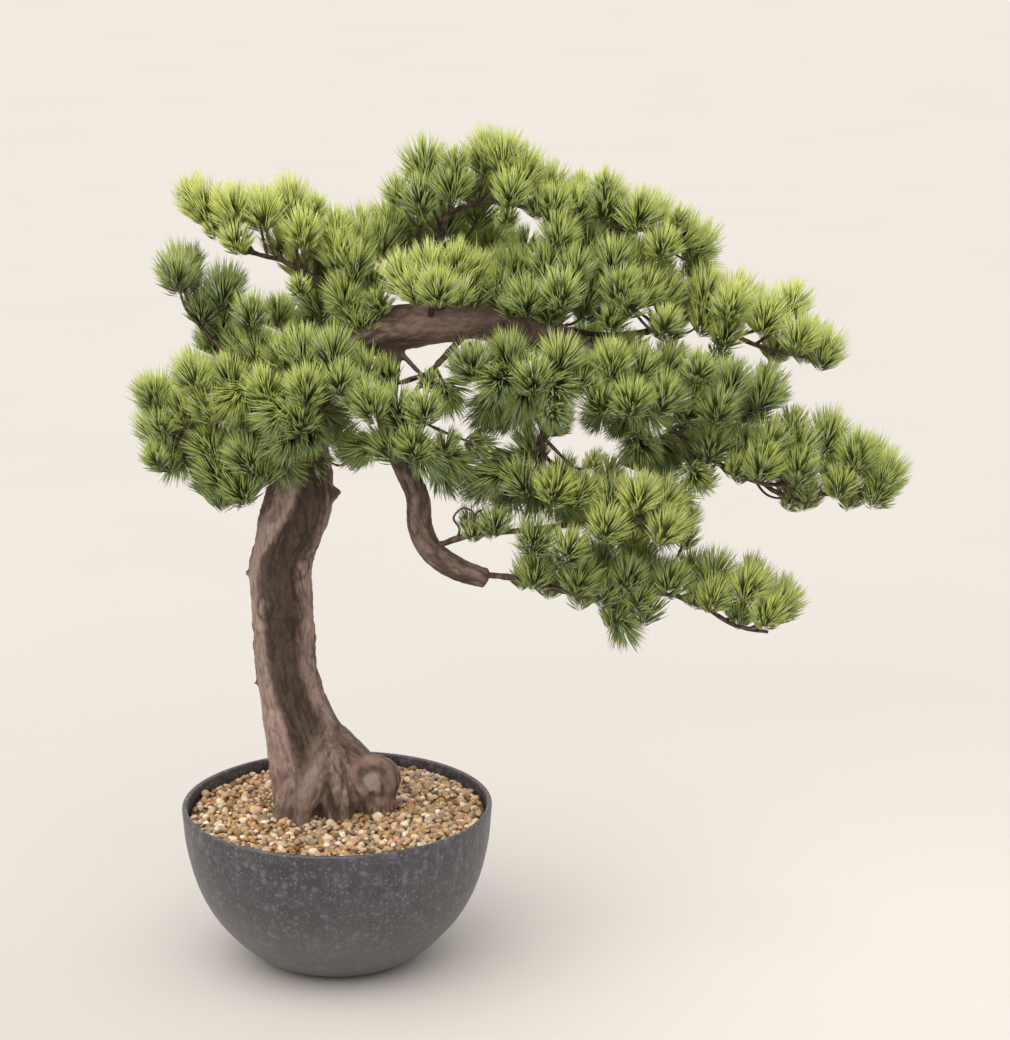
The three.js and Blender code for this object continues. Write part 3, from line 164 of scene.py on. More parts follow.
        [(-26.2, -22, 399.3), (-30.4, -34, 412.8), (-45.6, -40, 419.5), (-65.9, -34, 418.2), (-81.2, -26, 415.1)],
        [
            (-88.4, -12, 418.8, 20, -0.406, 0.334, 0.851, 0.89), (-65.1, -34, 423.5, 19, -0.293, 0.065, 0.954, 0.7),
            (-47.9, -22, 441.2, 19, -0.208, 0.19, 0.96, 0.42), (-28.2, -40, 439.5, 19, -0.079, -0.116, 0.99, 0.24),
            (-40.8, -52, 419.4, 18.5, -0.228, -0.464, 0.856, 0.38), (-66.5, -46, 404.7, 18.5, -0.7, -0.475, -0.534, 0.63),
            (-56.2, -14, 392, 18, -0.877, 0.406, -0.255, 0.18), (-62.6, 6, 421.8, 18, -0.123, 0.459, 0.88, 0.73),
            (-89, -50, 428.3, 18, -0.446, -0.233, 0.864, 0.72),
        ],
    ),
    "left_inner": (
        [(-16.5, -8, 397.5), (-13.5, -32, 408.3), (-16.4, -46, 416.7), (-21, -54, 422.5)],
        [
            (-15.3, -46, 443.4, 19.5, -0.081, -0.038, 0.996, 0.68), (5.2, -52, 444.6, 19, 0.091, -0.161, 0.983, 0.52),
            (-12.2, -70, 423.3, 19, -0.015, -0.477, 0.879, 0.74), (9.6, -66, 427.7, 16, 0.152, -0.356, 0.922, 0.49),
            (-18, -66, 402.5, 18.5, -0.21, -0.598, 0.774, 0.59), (-35.2, -62, 398.9, 18, -0.732, -0.617, -0.29, 0.6),
            (-28, -58, 380.6, 18.5, -0.475, -0.803, -0.359, 0.23), (-14.6, -44, 380, 17, -0.19, -0.818, -0.543, 0.17),
            (22.1, -58, 416.7, 18, 0.229, -0.35, 0.908, 0.3), (0.1, 1, 383.8, 18, 0.305, 0.818, -0.488, 0.17),
        ],
    ),
    "upper_mid": (
        [(47.8, 0, 447.6), (37.1, 4, 460.4), (23.8, 6, 472.1), (13.2, 6, 480.2)],
        [
            (-4.3, 12, 487.3, 19, -0.431, 0.091, 0.898, 0.77), (15.9, -18, 496.6, 18.5, -0.168, -0.263, 0.95, 0.67),
            (18.1, 8, 505.4, 17.5, -0.125, 0.028, 0.992, 0.71), (32.7, 24, 504.1, 19, -0.03, 0.185, 0.982, 0.58),
            (9.2, -20, 475.6, 18.5, -0.308, -0.401, 0.863, 0.7), (26.5, 8, 479.9, 18, -0.01, 0.089, 0.996, 0.65),
            (40.5, 34, 517.3, 18, -0.021, 0.2, 0.98, 0.46), (-12.9, 16, 464.9, 16, -0.573, 0.14, 0.808, 0.65),
            (14.1, -16, 460.2, 17, -0.441, -0.347, 0.828, 0.41), (19.2, 30, 511.2, 18, -0.135, 0.2, 0.971, 0.58),
            (32.2, -20, 469.6, 13.5, -0.199, -0.358, 0.912, 0.27), (18.6, -14, 458.4, 18, -0.445, -0.33, 0.832, 0.33),
            (-22.3, 22, 485.5, 10.5, -0.465, 0.14, 0.874, 0.58),
        ],
    ),
    "upper_front": (
        [(66.8, -14, 455.7), (69.9, -30, 470.8), (74, -36, 481.2), (79.3, -38, 485.6)],
        [
            (49.1, -30, 489.4, 18.5, -0.313, -0.068, 0.947, 0.27), (66.5, -44, 498.5, 18.5, -0.138, -0.191, 0.972, 0.54),
            (84.5, -36, 498.4, 19, 0.132, -0.045, 0.99, 0.7), (97.4, -24, 492.3, 18, 0.269, 0.089, 0.959, 0.56),
            (73.6, -12, 488.8, 18, -0.011, 0.213, 0.977, 0.31), (57.5, -50, 485.1, 16, -0.259, -0.331, 0.908, 0.4),
            (87.4, -58, 482.7, 13.5, 0.173, -0.439, 0.882, 0.58), (86.5, -1, 472.1, 13.5, 0.175, 0.298, 0.938, 0.18),
            (73.4, -69, 488.6, 18, -0.029, -0.448, 0.894, 0.46), (98, -21, 479.8, 18, 0.333, 0.148, 0.931, 0.53),
        ],
    ),
    "mid_high": (
        [(111.8, -8, 457.3), (130.2, -18, 465.9), (149.9, -24, 473.7), (168.2, -26, 478.1)],
        [
            (125, -10, 489.8, 19, 0.022, 0.031, 0.999, 0.2), (143.2, -28, 497, 19, 0.047, -0.119, 0.992, 0.51),
            (161.3, -38, 496.1, 18.5, 0.096, -0.232, 0.968, 0.79), (153.3, -52, 482.9, 18, 0.122, -0.429, 0.895, 0.59),
            (131.4, -40, 476.7, 18, 0.008, -0.407, 0.913, 0.35), (173.6, -22, 476, 18, 0.489, 0.125, 0.863, 0.94),
            (179.1, -8, 492.1, 18.5, 0.308, 0.179, 0.934, 0.8), (144.9, -6, 463.6, 17, 0.379, 0.268, 0.886, 0.34),
            (153.1, 10, 484.9, 18, 0.21, 0.301, 0.93, 0.41), (111.8, -25, 480.5, 16.5, -0.179, -0.201, 0.963, 0.2),
            (172.6, 0, 508.8, 18, 0.206, 0.173, 0.963, 0.68), (119.7, 1, 491.9, 18, -0.041, 0.153, 0.987, 0.2),
            (121, -31, 470, 14.5, -0.05, -0.55, 0.83, 0.12), (147, -33, 467, 14.5, 0.15, -0.55, 0.82, 0.55),
        ],
    ),
    "mid_high_right": (
        [(133, -4, 451.1), (162.1, -8, 461.3), (187.1, -12, 468.8), (209.6, -12, 470.1)],
        [
            (187.7, -26, 499.3, 18.5, 0.151, -0.171, 0.974, 0.53), (202.8, -8, 496.1, 19.5, 0.2, 0.037, 0.979, 0.73),
            (208.8, -26, 480.7, 18.5, 0.219, -0.3, 0.928, 0.88), (192.4, -44, 484, 17.5, 0.2, -0.371, 0.907, 0.54),
            (224.1, -10, 475.1, 18, 0.484, 0.023, 0.875, 0.9), (220, 16, 482.5, 18, 0.338, 0.297, 0.893, 0.78),
            (194.8, 22, 484.1, 18, 0.219, 0.341, 0.914, 0.56), (251.1, -6, 456.9, 16.5, 0.591, 0.037, 0.806, 0.71),
            (222.6, -44, 460.9, 13.5, 0.419, -0.409, 0.811, 0.76), (186.2, -40, 463.5, 13.5, 0.236, -0.488, 0.841, 0.5),
            (199, -44, 474.2, 15, 0.249, -0.429, 0.868, 0.62),
        ],
    ),
    "mid_left": (
        [(113.1, -12, 450), (123.6, -38, 441.8), (136.6, -54, 434.5), (149.5, -60, 429.1)],
        [
            (118.3, -56, 442.8, 19, -0.172, -0.493, 0.853, 0.37), (135.1, -74, 430.8, 18.5, -0.001, -0.601, 0.799, 0.64),
            (117.1, -44, 420.3, 18, -0.316, -0.574, -0.756, 0.31), (153.2, -66, 443.6, 18.5, 0.228, -0.268, 0.936, 0.84),
            (151.9, -76, 418, 18, 0.407, -0.864, -0.297, 0.8), (130.1, -54, 407.8, 17.5, -0.035, -0.446, -0.894, 0.53),
            (169, -60, 429.1, 18, 0.521, -0.174, 0.836, 0.8), (103.8, -24, 392.9, 17.5, -0.437, -0.184, -0.88, 0.15),
            (93.8, -65, 438.1, 18, -0.306, -0.499, 0.811, 0.2), (129.6, -33, 394.3, 18, 0.202, -0.193, -0.96, 0.29),
            (149.8, -88, 404.2, 13.5, 0.31, -0.864, -0.396, 0.64), (110, -74, 423.5, 18, -0.385, -0.908, -0.164, 0.39),
        ],
    ),
    "mid_right": (
        [(161, -6, 432.5), (178.9, -32, 429.8), (196.8, -46, 424.8), (211.1, -50, 420.3)],
        [
            (185.8, -60, 437, 18.5, 0.073, -0.454, 0.888, 0.45), (205.9, -46, 432.8, 18.5, 0.331, -0.05, 0.942, 0.69),
            (178, -64, 415.4, 18, -0.016, -0.625, 0.781, 0.42), (198.6, -70, 415.4, 18.5, 0.154, -0.611, 0.777, 0.64),
            (223.8, -28, 430.3, 18, 0.434, 0.208, 0.877, 0.73), (212.8, -46, 396.6, 18, 0.62, -0.064, -0.782, 0.76),
            (222.5, -58, 415.4, 18, 0.543, -0.325, 0.775, 0.85), (195.7, -19, 438.6, 15, 0.464, 0.04, 0.885, 0.22),
        ],
    ),
    "right_mid": (
        [(171.9, 0, 423.1), (183.4, -16, 422.4), (212.4, -22, 418.3), (238.6, -28, 411.5), (262.2, -32, 405.6)],
        [
            (245, -28, 420.9, 19, 0.33, -0.041, 0.943, 0.74), (265.8, -42, 421.2, 18.5, 0.313, -0.241, 0.919, 0.91),
            (290.3, -26, 412.4, 19, 0.559, 0.011, 0.829, 0.86), (256.7, -54, 406.5, 18, 0.235, -0.525, 0.818, 0.88),
            (238.1, -38, 402.9, 18, 0.259, -0.578, 0.774, 0.73), (284.2, -6, 397.1, 17, 0.569, 0.252, 0.783, 0.84),
            (265.3, -4, 414.4, 17, 0.398, 0.328, 0.857, 0.82), (292.6, -12, 420.2, 10.5, 0.51, 0.126, 0.851, 0.82),
            (260.3, 5, 430.2, 10.5, 0.377, 0.273, 0.885, 0.67), (242.8, -61, 433.9, 15, 0.248, -0.385, 0.889, 0.62),
            (227.1, 9, 426, 15, 0.39, 0.334, 0.858, 0.42), (297.5, -13, 404.1, 10.5, 0.588, 0.118, 0.8, 0.81),
        ],
    ),
    "right_low": (
        [(186.8, 4, 416.8), (202.9, 2, 404.9), (221.8, -2, 383.8), (252.6, -8, 360.4), (284.9, -12, 343.4), (304.9, -14, 342.5)],
        [
            (276.6, -16, 373.3, 19, 0.419, -0.126, 0.899, 0.62), (292.9, -34, 380.3, 18.5, 0.365, -0.234, 0.901, 0.66),
            (312.3, -20, 372.9, 19.5, 0.319, -0.087, 0.944, 0.85), (308.6, 0, 351.5, 18, 0.352, 0.269, 0.896, 0.92),
            (287.1, -44, 366.4, 18, 0.326, -0.377, 0.867, 0.68), (313.1, -36, 360.4, 17, 0.349, -0.282, 0.894, 0.86),
            (255.2, -26, 375.7, 18, 0.353, -0.361, 0.863, 0.53), (247.9, 4, 364.4, 18, 0.387, 0.459, 0.8, 0.54),
            (296, 14, 366.2, 18, 0.384, 0.268, 0.884, 0.71), (250.8, -8, 348, 12, 0.224, -0.037, 0.974, 0.6),
            (309.3, -20, 387.9, 13.5, 0.282, -0.073, 0.957, 0.8), (243.6, -37, 351.8, 15, 0.239, -0.924, -0.298, 0.53),
            (206, -28, 369.4, 18, 0.013, -0.866, -0.5, 0.31), (270.8, -34, 361.3, 12, 0.336, -0.429, 0.838, 0.63),
            (179.6, 25, 381.8, 15, -0.331, 0.758, -0.561, 0.14),
        ],
    ),
    "low_mid": (
        [(143.7, -6, 440.7), (142.2, -24, 413.3), (140.9, -30, 383.5), (142.3, -32, 359.4), (145, -32, 341.6)],
        [
            (126.3, -38, 354.1, 18.5, -0.516, -0.396, 0.759, 0.7), (149.9, -54, 352.6, 18.5, 0.217, -0.639, 0.738, 0.72),
            (168.6, -42, 348.2, 18.5, 0.569, -0.315, 0.759, 0.79), (111.7, -18, 356, 18, -0.891, 0.208, -0.403, 0.59),
            (134.6, -12, 330.9, 18, -0.266, 0.612, -0.745, 0.84), (103.8, -34, 350.3, 17, -0.895, -0.22, -0.387, 0.6),
            (157.2, -22, 329.4, 18, 0.625, 0.268, -0.733, 0.87), (174.5, 20, 322.7, 18, 0.523, 0.694, -0.495, 0.64),
            (140.4, 26, 326.8, 18, 0.028, 0.87, -0.493, 0.65), (117.1, 10, 325.3, 17, -0.417, 0.686, -0.596, 0.68),
            (95.7, -28, 343.3, 15, -0.901, -0.075, -0.428, 0.6), (156.5, -20, 355.1, 14, 0.552, 0.236, 0.8, 0.73),
            (187.9, -20, 353.7, 14, 0.64, 0.056, 0.766, 0.67), (133.1, -19, 374, 18, -0.314, 0.292, 0.904, 0.52),
            (150.8, -32, 391.4, 15, 0.538, -0.334, 0.774, 0.39), (175.8, -43, 366.2, 10.5, 0.577, -0.301, 0.759, 0.54),
            (106.4, -8, 388.6, 18, -0.933, 0.296, -0.205, 0.29),
        ],
    ),
    "low_front": (
        [(70.2, -28, 303.3), (95.7, -30, 312.1), (123.1, -32, 314.7), (153, -36, 319.3), (183.5, -38, 322.5), (208.8, -38, 325.3)],
        [
            (187.2, -42, 344.1, 18.5, 0.183, -0.144, 0.973, 0.78), (205.1, -56, 349.1, 19, 0.207, -0.285, 0.936, 0.88),
            (223.1, -40, 342.3, 19, 0.416, -0.086, 0.905, 0.92), (234.7, -26, 323.5, 17, 0.59, 0.097, 0.802, 0.9),
            (206.9, -22, 319.7, 18, 0.397, 0.437, 0.807, 0.92), (184.1, -60, 328.4, 18, 0.232, -0.489, 0.841, 0.74),
            (223.9, -54, 325.4, 18, 0.497, -0.333, 0.801, 0.92), (214, -8, 334.1, 18, 0.356, 0.343, 0.869, 0.89),
            (93, -22, 321.1, 11, 0.04, 0.163, 0.986, 0.15), (136.3, -49, 316.6, 18, 0.143, -0.589, 0.796, 0.46),
            (109.8, -39, 324.2, 15, 0.096, -0.33, 0.939, 0.27), (95.1, -33, 316.4, 10.5, 0.07, -0.288, 0.955, 0.18),
            (159.3, -55, 311.3, 18, 0.288, -0.618, 0.731, 0.58),
        ],
    ),
    "low_long": (
        [(98.3, -30, 284), (113, -30, 282.9), (131.8, -29, 279.9), (153.4, -26, 272), (182, -18, 264.8), (214.8, -10, 264.6), (232.8, -4, 261.4), (250.9, -0, 253.1), (274.4, -0, 238.9), (296.3, 0, 234.6)],
        [
            (138.5, -32, 290.5, 19, 0.288, -0.161, 0.944, 0.21), (148.3, -6, 276.1, 17, 0.192, 0.518, 0.834, 0.28),
            (166.4, -42, 287.7, 18.5, 0.36, -0.308, 0.881, 0.3), (183.4, -10, 291.3, 19, 0.231, 0.125, 0.965, 0.41),
            (171.9, 16, 281.3, 18, 0.186, 0.479, 0.858, 0.37), (184.1, -34, 275.7, 16, 0.373, -0.328, 0.868, 0.4),
            (199.9, -36, 287.4, 18, 0.31, -0.267, 0.913, 0.44), (218.8, -8, 279.5, 18.5, 0.276, 0.057, 0.959, 0.54),
            (197.8, 8, 269.3, 17, 0.203, 0.479, 0.854, 0.48), (198.6, -14, 238.8, 15, 0.525, 0.067, -0.848, 0.46),
            (228.4, -30, 282.9, 17, 0.355, -0.271, 0.895, 0.53), (209.2, 24, 284.7, 18, 0.2, 0.411, 0.889, 0.5),
            (206.9, -34, 271.5, 15, 0.354, -0.397, 0.847, 0.48), (259.4, -8, 280.9, 19.5, 0.415, -0.067, 0.907, 0.68),
            (258.4, -26, 270.6, 17, 0.436, -0.314, 0.843, 0.67), (281.4, -22, 277.9, 19, 0.44, -0.206, 0.874, 0.74),
            (287, 12, 270.3, 19, 0.428, 0.136, 0.894, 0.81), (304.6, -8, 260.4, 19.5, 0.35, -0.102, 0.931, 0.94),
            (278.8, 8, 252.2, 18, 0.417, 0.195, 0.888, 0.85), (293.5, -28, 260, 17.5, 0.308, -0.315, 0.898, 0.89),
            (245.9, 14, 276.8, 18, 0.323, 0.292, 0.9, 0.66), (305.8, 20, 255.8, 18, 0.377, 0.244, 0.894, 0.93),
            (213.5, 3, 253.7, 16.5, 0.281, 0.61, 0.741, 0.54), (193.4, -5, 252.5, 16.5, 0.368, 0.57, 0.735, 0.47),
            (128.5, -18, 280.9, 12, 0.204, 0.484, 0.851, 0.18), (247, -16, 266.3, 12, 0.466, -0.289, 0.836, 0.66),
            (169.3, -11, 268.4, 15, 0.174, 0.502, 0.848, 0.39), (238.7, -19, 309.2, 12, 0.35, -0.065, 0.934, 0.51),
        ],
    ),
    "front_left": (
        [(90.5, -8, 445.1), (79.4, -22, 434.5), (64.4, -34, 420.2), (55.4, -42, 407.8), (50.1, -46, 393.9), (51.2, -44, 375.9)],
        [
            (22.4, -34, 428.9, 17, -0.531, -0.072, 0.845, 0.36), (43.9, -52, 406, 18, -0.426, -0.372, 0.825, 0.64),
            (63.7, -60, 406.5, 17.5, 0.045, -0.589, 0.807, 0.54), (36.9, -46, 380.4, 18, -0.654, -0.115, 0.748, 0.86),
            (17.4, -26, 368.9, 17, -0.867, 0.362, -0.343, 0.81), (57.1, -62, 382.9, 17.5, 0.087, -0.621, 0.779, 0.81),
            (81.6, -40, 407.4, 17, 0.406, -0.674, -0.617, 0.32), (67, -46, 365.6, 17.5, 0.657, -0.217, -0.722, 0.91),
            (87.9, -36, 357.7, 18, 0.726, 0.041, -0.686, 0.79), (77.3, -36, 349.5, 15, 0.479, 0.07, -0.875, 0.81),
            (78.9, -44, 380, 12, 0.447, -0.112, 0.887, 0.85), (101.2, -34, 373.5, 13, 0.946, 0.031, -0.322, 0.74),
            (93.2, -12, 427, 18, 0.291, 0.187, 0.938, 0.14), (27.7, -68, 412.9, 18, -0.42, -0.393, 0.818, 0.53),
            (67.1, -35, 418.4, 10.5, 0.244, -0.44, 0.864, 0.39), (37.1, -25, 423, 13.5, -0.553, 0.05, 0.831, 0.36),
        ],
    ),
    "back_left": (
        [(-16.3, 8, 393.9), (-14, 40, 406.3), (-16.6, 62, 412.9), (-24.2, 74, 416)],
        [
            (-24.8, 66, 427.5, 19, -0.246, 0.055, 0.968, 0.76), (-1.7, 72, 430.5, 19, 0.09, 0.277, 0.957, 0.57),
            (-43.9, 58, 410.9, 18.5, -0.586, -0.016, 0.81, 0.68), (-22.8, 92, 398.1, 19, -0.291, 0.917, -0.273, 0.73),
            (6.4, 46, 419, 18, 0.203, 0.194, 0.96, 0.3), (-39.7, 70, 384.3, 18.5, -0.771, 0.351, -0.531, 0.63),
            (-10, 84, 381.2, 18, -0.045, 0.873, -0.486, 0.5), (-57.7, 40, 402.2, 18, -0.528, 0.217, 0.821, 0.13),
            (-40.5, 50, 448.8, 15, -0.296, 0.005, 0.955, 0.54), (-37.8, 106, 438, 16.5, -0.236, 0.394, 0.888, 0.6),
            (-12.6, 41, 450.5, 18, -0.086, 0.087, 0.993, 0.27),
        ],
    ),
    "back_top": (
        [(70.4, 12, 483.2), (71.2, 36, 488.5), (76.3, 54, 493.6), (83, 64, 496)],
        [
            (43.6, 58, 497, 19, -0.369, 0.316, 0.874, 0.32), (65.3, 62, 507.4, 19, -0.204, 0.265, 0.942, 0.58),
            (91.1, 66, 502.6, 19, 0.25, 0.233, 0.94, 0.86), (106.2, 50, 498.4, 18, 0.385, 0.028, 0.923, 0.67),
            (60.5, 86, 482.6, 18.5, -0.244, 0.542, 0.804, 0.6), (85.3, 88, 478, 18.5, 0.168, 0.981, -0.098, 0.64),
            (53.8, 40, 516.4, 17, -0.219, 0.149, 0.964, 0.23), (99.6, 35, 523.3, 18, 0.19, 0.046, 0.981, 0.32),
            (112.9, 96, 496.2, 16.5, 0.251, 0.443, 0.86, 0.53), (76.1, 34, 516.7, 18, 0.013, 0.081, 0.997, 0.25),
        ],
    ),
    "back_mid": (
        [(111.6, 66, 428.9), (129.6, 80, 428.9), (149.1, 90, 428.4), (168.8, 96, 422.9)],
        [
            (124, 78, 447.6, 19, 0.027, 0.159, 0.987, 0.2), (149.1, 92, 443.5, 19, 0.17, 0.213, 0.962, 0.54),
            (175.9, 98, 421.1, 19, 0.518, 0.282, 0.807, 0.95), (145.3, 116, 411.7, 18.5, 0.057, 0.959, -0.279, 0.58),
            (173.7, 76, 450.8, 18.5, 0.319, -0.027, 0.947, 0.62), (207.8, 88, 401.8, 18.5, 0.972, 0.125, -0.198, 0.68),
            (117.1, 92, 419.4, 18.5, -0.153, 0.63, 0.761, 0.2), (172.2, 112, 392.4, 18.5, 0.459, 0.654, -0.601, 0.76),
            (154.7, 80, 396.3, 18, 0.365, -0.079, -0.928, 0.62), (176.3, 112, 419, 18, 0.35, 0.513, 0.784, 0.87),
            (137, 61, 432.7, 18, 0.33, -0.166, 0.929, 0.2),
        ],
    ),
    "back_right": (
        [(162.6, 6, 431.4), (173.9, 26, 421.8), (201.8, 42, 401.7), (228.8, 56, 384.6), (251.5, 64, 375.7)],
        [
            (244.5, 66, 385.2, 19, 0.282, 0.314, 0.907, 0.87), (266.2, 56, 371.9, 19, 0.623, -0.043, 0.781, 0.92),
            (219.1, 84, 382.6, 19, 0.075, 0.608, 0.79, 0.67), (241.4, 78, 358.2, 18.5, 0.133, 0.781, -0.611, 0.89),
            (279.6, 36, 389.1, 18.5, 0.515, -0.147, 0.845, 0.81), (191.4, 92, 379.4, 18, -0.089, 0.977, -0.193, 0.5),
            (254.6, 44, 359.1, 18, 0.676, -0.494, -0.547, 0.88), (229.2, 29, 352.1, 18, 0.502, -0.404, -0.764, 0.63),
            (198.9, 81, 361.8, 16.5, -0.105, 0.851, -0.515, 0.57),
        ],
    ),
    "back_low": (
        [(180.2, 8, 421.4), (198.8, 34, 400.7), (215, 52, 365.7), (218.3, 56, 336.3), (208.8, 54, 313.9)],
        [
            (196.1, 48, 312.6, 18.5, -0.449, -0.112, 0.886, 0.93), (217.6, 64, 312.8, 18.5, 0.374, 0.606, 0.702, 0.9),
            (237.7, 48, 311.2, 18, 0.762, -0.152, -0.629, 0.76), (223.7, 42, 295.6, 18, 0.468, -0.329, -0.82, 0.88),
            (181.2, 58, 298.5, 18, -0.755, 0.221, -0.617, 0.85), (203.5, 54, 285.1, 17.5, -0.163, 0.096, -0.982, 0.87),
            (163, 54, 305.3, 18, -0.907, 0.133, -0.399, 0.79), (187.3, 76, 312.6, 17.5, -0.363, 0.488, 0.794, 0.86),
            (209.7, 52, 350.1, 18, -0.424, -0.036, 0.905, 0.58), (194, 44, 370.4, 15, -0.616, 0.22, -0.756, 0.36),
            (177.3, 60, 370.3, 13.5, -0.595, 0.705, -0.386, 0.32), (231, 61, 340.8, 18, 0.593, 0.31, 0.743, 0.66),
        ],
    ),
    "back_left_low": (
        [(-20.8, 8, 366.3), (-32, 34, 368.5), (-50.7, 46, 365.7), (-72.7, 44, 359.1), (-88.6, 36, 355.4)],
        [
            (-92.1, 30, 356.8, 18.5, -0.425, -0.324, 0.845, 0.96), (-73.4, 52, 358.6, 18.5, -0.423, 0.454, 0.784, 0.7),
            (-52, 62, 363.4, 18, -0.269, 0.54, 0.798, 0.46), (-59.4, 44, 340.7, 18.5, -0.337, -0.056, -0.94, 0.57),
            (-36.3, 52, 353, 18, -0.172, 0.77, -0.615, 0.32), (-82.1, 36, 339.8, 17.5, -0.375, -0.267, -0.888, 0.85),
            (-106.9, 30, 365.2, 17, -0.503, -0.128, 0.855, 0.86), (-66.4, 56, 377.5, 18, -0.367, 0.22, 0.904, 0.52),
            (-13.7, 0, 352.9, 18, 0.259, -0.872, -0.415, 0.12), (-0.3, 43, 369.9, 18, 0.228, 0.379, 0.897, 0.12),
            (14.7, -12, 366.2, 16.5, 0.236, -0.354, 0.905, 0.12), (-12.8, 38, 343.6, 13.5, 0.253, 0.68, -0.688, 0.12),
        ],
    ),
}

# ---------------------------------------------------------------- helpers


def lin(hexa, a=1.0):
    h = hexa.lstrip("#")
    c = [int(h[i : i + 2], 16) / 255 for i in (0, 2, 4)]
    return tuple(x / 12.92 if x <= 0.04045 else ((x + 0.055) / 1.055) ** 2.4 for x in c) + (a,)


def unit(v):
    v = np.asarray(v, float)
    return v / np.maximum(np.linalg.norm(v, axis=-1, keepdims=True), 1e-12)


def smooth(a, b, x):
    t = np.clip((x - a) / (b - a), 0, 1)
    return t * t * (3 - 2 * t)


def spline(pts, t):
    """Uniform Catmull-Rom through pts at t in 0..1 (array)."""
    pts = np.asarray(pts, float)
    n = len(pts)
    p = (n - 1) * np.asarray(t, float)
    i = np.clip(np.floor(p).astype(int), 0, n - 2)
    w = (p - i)[:, None]
    ext = np.vstack([2 * pts[0] - pts[1], pts, 2 * pts[-1] - pts[-2]])
    p0, p1, p2, p3 = ext[i], ext[i + 1], ext[i + 2], ext[i + 3]
    v0, v1 = (p2 - p0) * 0.5, (p3 - p1) * 0.5
    return (2 * p1 - 2 * p2 + v0 + v1) * w**3 + (-3 * p1 + 3 * p2 - 2 * v0 - v1) * w**2 + v0 * w + p1


def frames(P, first=(0, -1, 0)):
    """Tangents and two side vectors carried along the points without twist."""
    T = unit(np.gradient(P, axis=0))
    N = np.zeros_like(P)
    n = np.asarray(first, float)
    if abs(np.dot(n, T[0])) > 0.95:
        n = np.array([0, 0, 1.0])
    for k in range(len(P)):
        n = n - np.dot(n, T[k]) * T[k]
        n = n / np.linalg.norm(n)
        N[k] = n
    return T, N, np.cross(T, N)


_G = np.array(
    [(1, 1, 0), (-1, 1, 0), (1, -1, 0), (-1, -1, 0), (1, 0, 1), (-1, 0, 1), (1, 0, -1), (-1, 0, -1),
     (0, 1, 1), (0, -1, 1), (0, 1, -1), (0, -1, -1), (1, 1, 0), (-1, 1, 0), (0, -1, 1), (0, -1, -1)], float)


def noise3(P, seed=0):
    """Gradient noise, about -1..1, at P (n, 3)."""
    P = np.asarray(P, float)
    i = np.floor(P).astype(np.int64)
    f = P - i
    u = f * f * f * (f * (f * 6 - 15) + 10)
    out = np.zeros(len(P))
    M = np.int64(0xFFFFFFFF)
    for dx in (0, 1):
        wx = u[:, 0] if dx else 1 - u[:, 0]
        for dy in (0, 1):
            wy = u[:, 1] if dy else 1 - u[:, 1]
            for dz in (0, 1):
                wz = u[:, 2] if dz else 1 - u[:, 2]
                h = ((i[:, 0] + dx) * 374761393 + (i[:, 1] + dy) * 668265263 + (i[:, 2] + dz) * 1440662683 + seed * 974634777) & M
                h = ((h ^ (h >> 13)) * 1274126177) & M
                h = (h ^ (h >> 16)) & 15
                g = _G[h]
                d = f - np.array([dx, dy, dz], float)
                out += wx * wy * wz * (g * d).sum(1)
    return out * 1.1


def mesh_object(name, verts_mm, faces, sizes=None, uv=None, attrs=None, flat=False):
    """faces: (n, k) array, or a flat index list with sizes. uv: one per vertex, or one per loop."""
    me = bpy.data.meshes.new(name)
    v = (np.asarray(verts_mm, float) * MM).astype(np.float32)
    me.vertices.add(len(v))
    me.vertices.foreach_set("co", v.ravel())
    if sizes is None:
        faces = np.asarray(faces, np.int32)
        sizes = np.full(len(faces), faces.shape[1], np.int32)
        loops = faces.ravel()
    else:
        loops = np.asarray(faces, np.int32)
        sizes = np.asarray(sizes, np.int32)
    me.loops.add(len(loops))
    me.loops.foreach_set("vertex_index", loops)
    me.polygons.add(len(sizes))
    starts = np.zeros(len(sizes), np.int32)
    starts[1:] = np.cumsum(sizes)[:-1]
    me.polygons.foreach_set("loop_start", starts)
    me.update(calc_edges=True)
    me.polygons.foreach_set("use_smooth", np.full(len(sizes), not flat, bool))
    if uv is not None:
        layer = me.uv_layers.new(name="OFBake")
        uv = np.asarray(uv, np.float32)
        if len(uv) == len(v):
            uv = uv[loops]
        layer.data.foreach_set("uv", uv.ravel())
    for key, values in (attrs or {}).items():
        values = np.asarray(values, np.float32)
        kind = "FLOAT" if values.ndim == 1 else "FLOAT_VECTOR"
        at = me.attributes.new(key, kind, "POINT")
        at.data.foreach_set("value" if values.ndim == 1 else "vector", values.ravel())
    me.update()
    me.validate()
    ob = bpy.data.objects.new(name, me)
    bpy.context.scene.collection.objects.link(ob)
    return ob


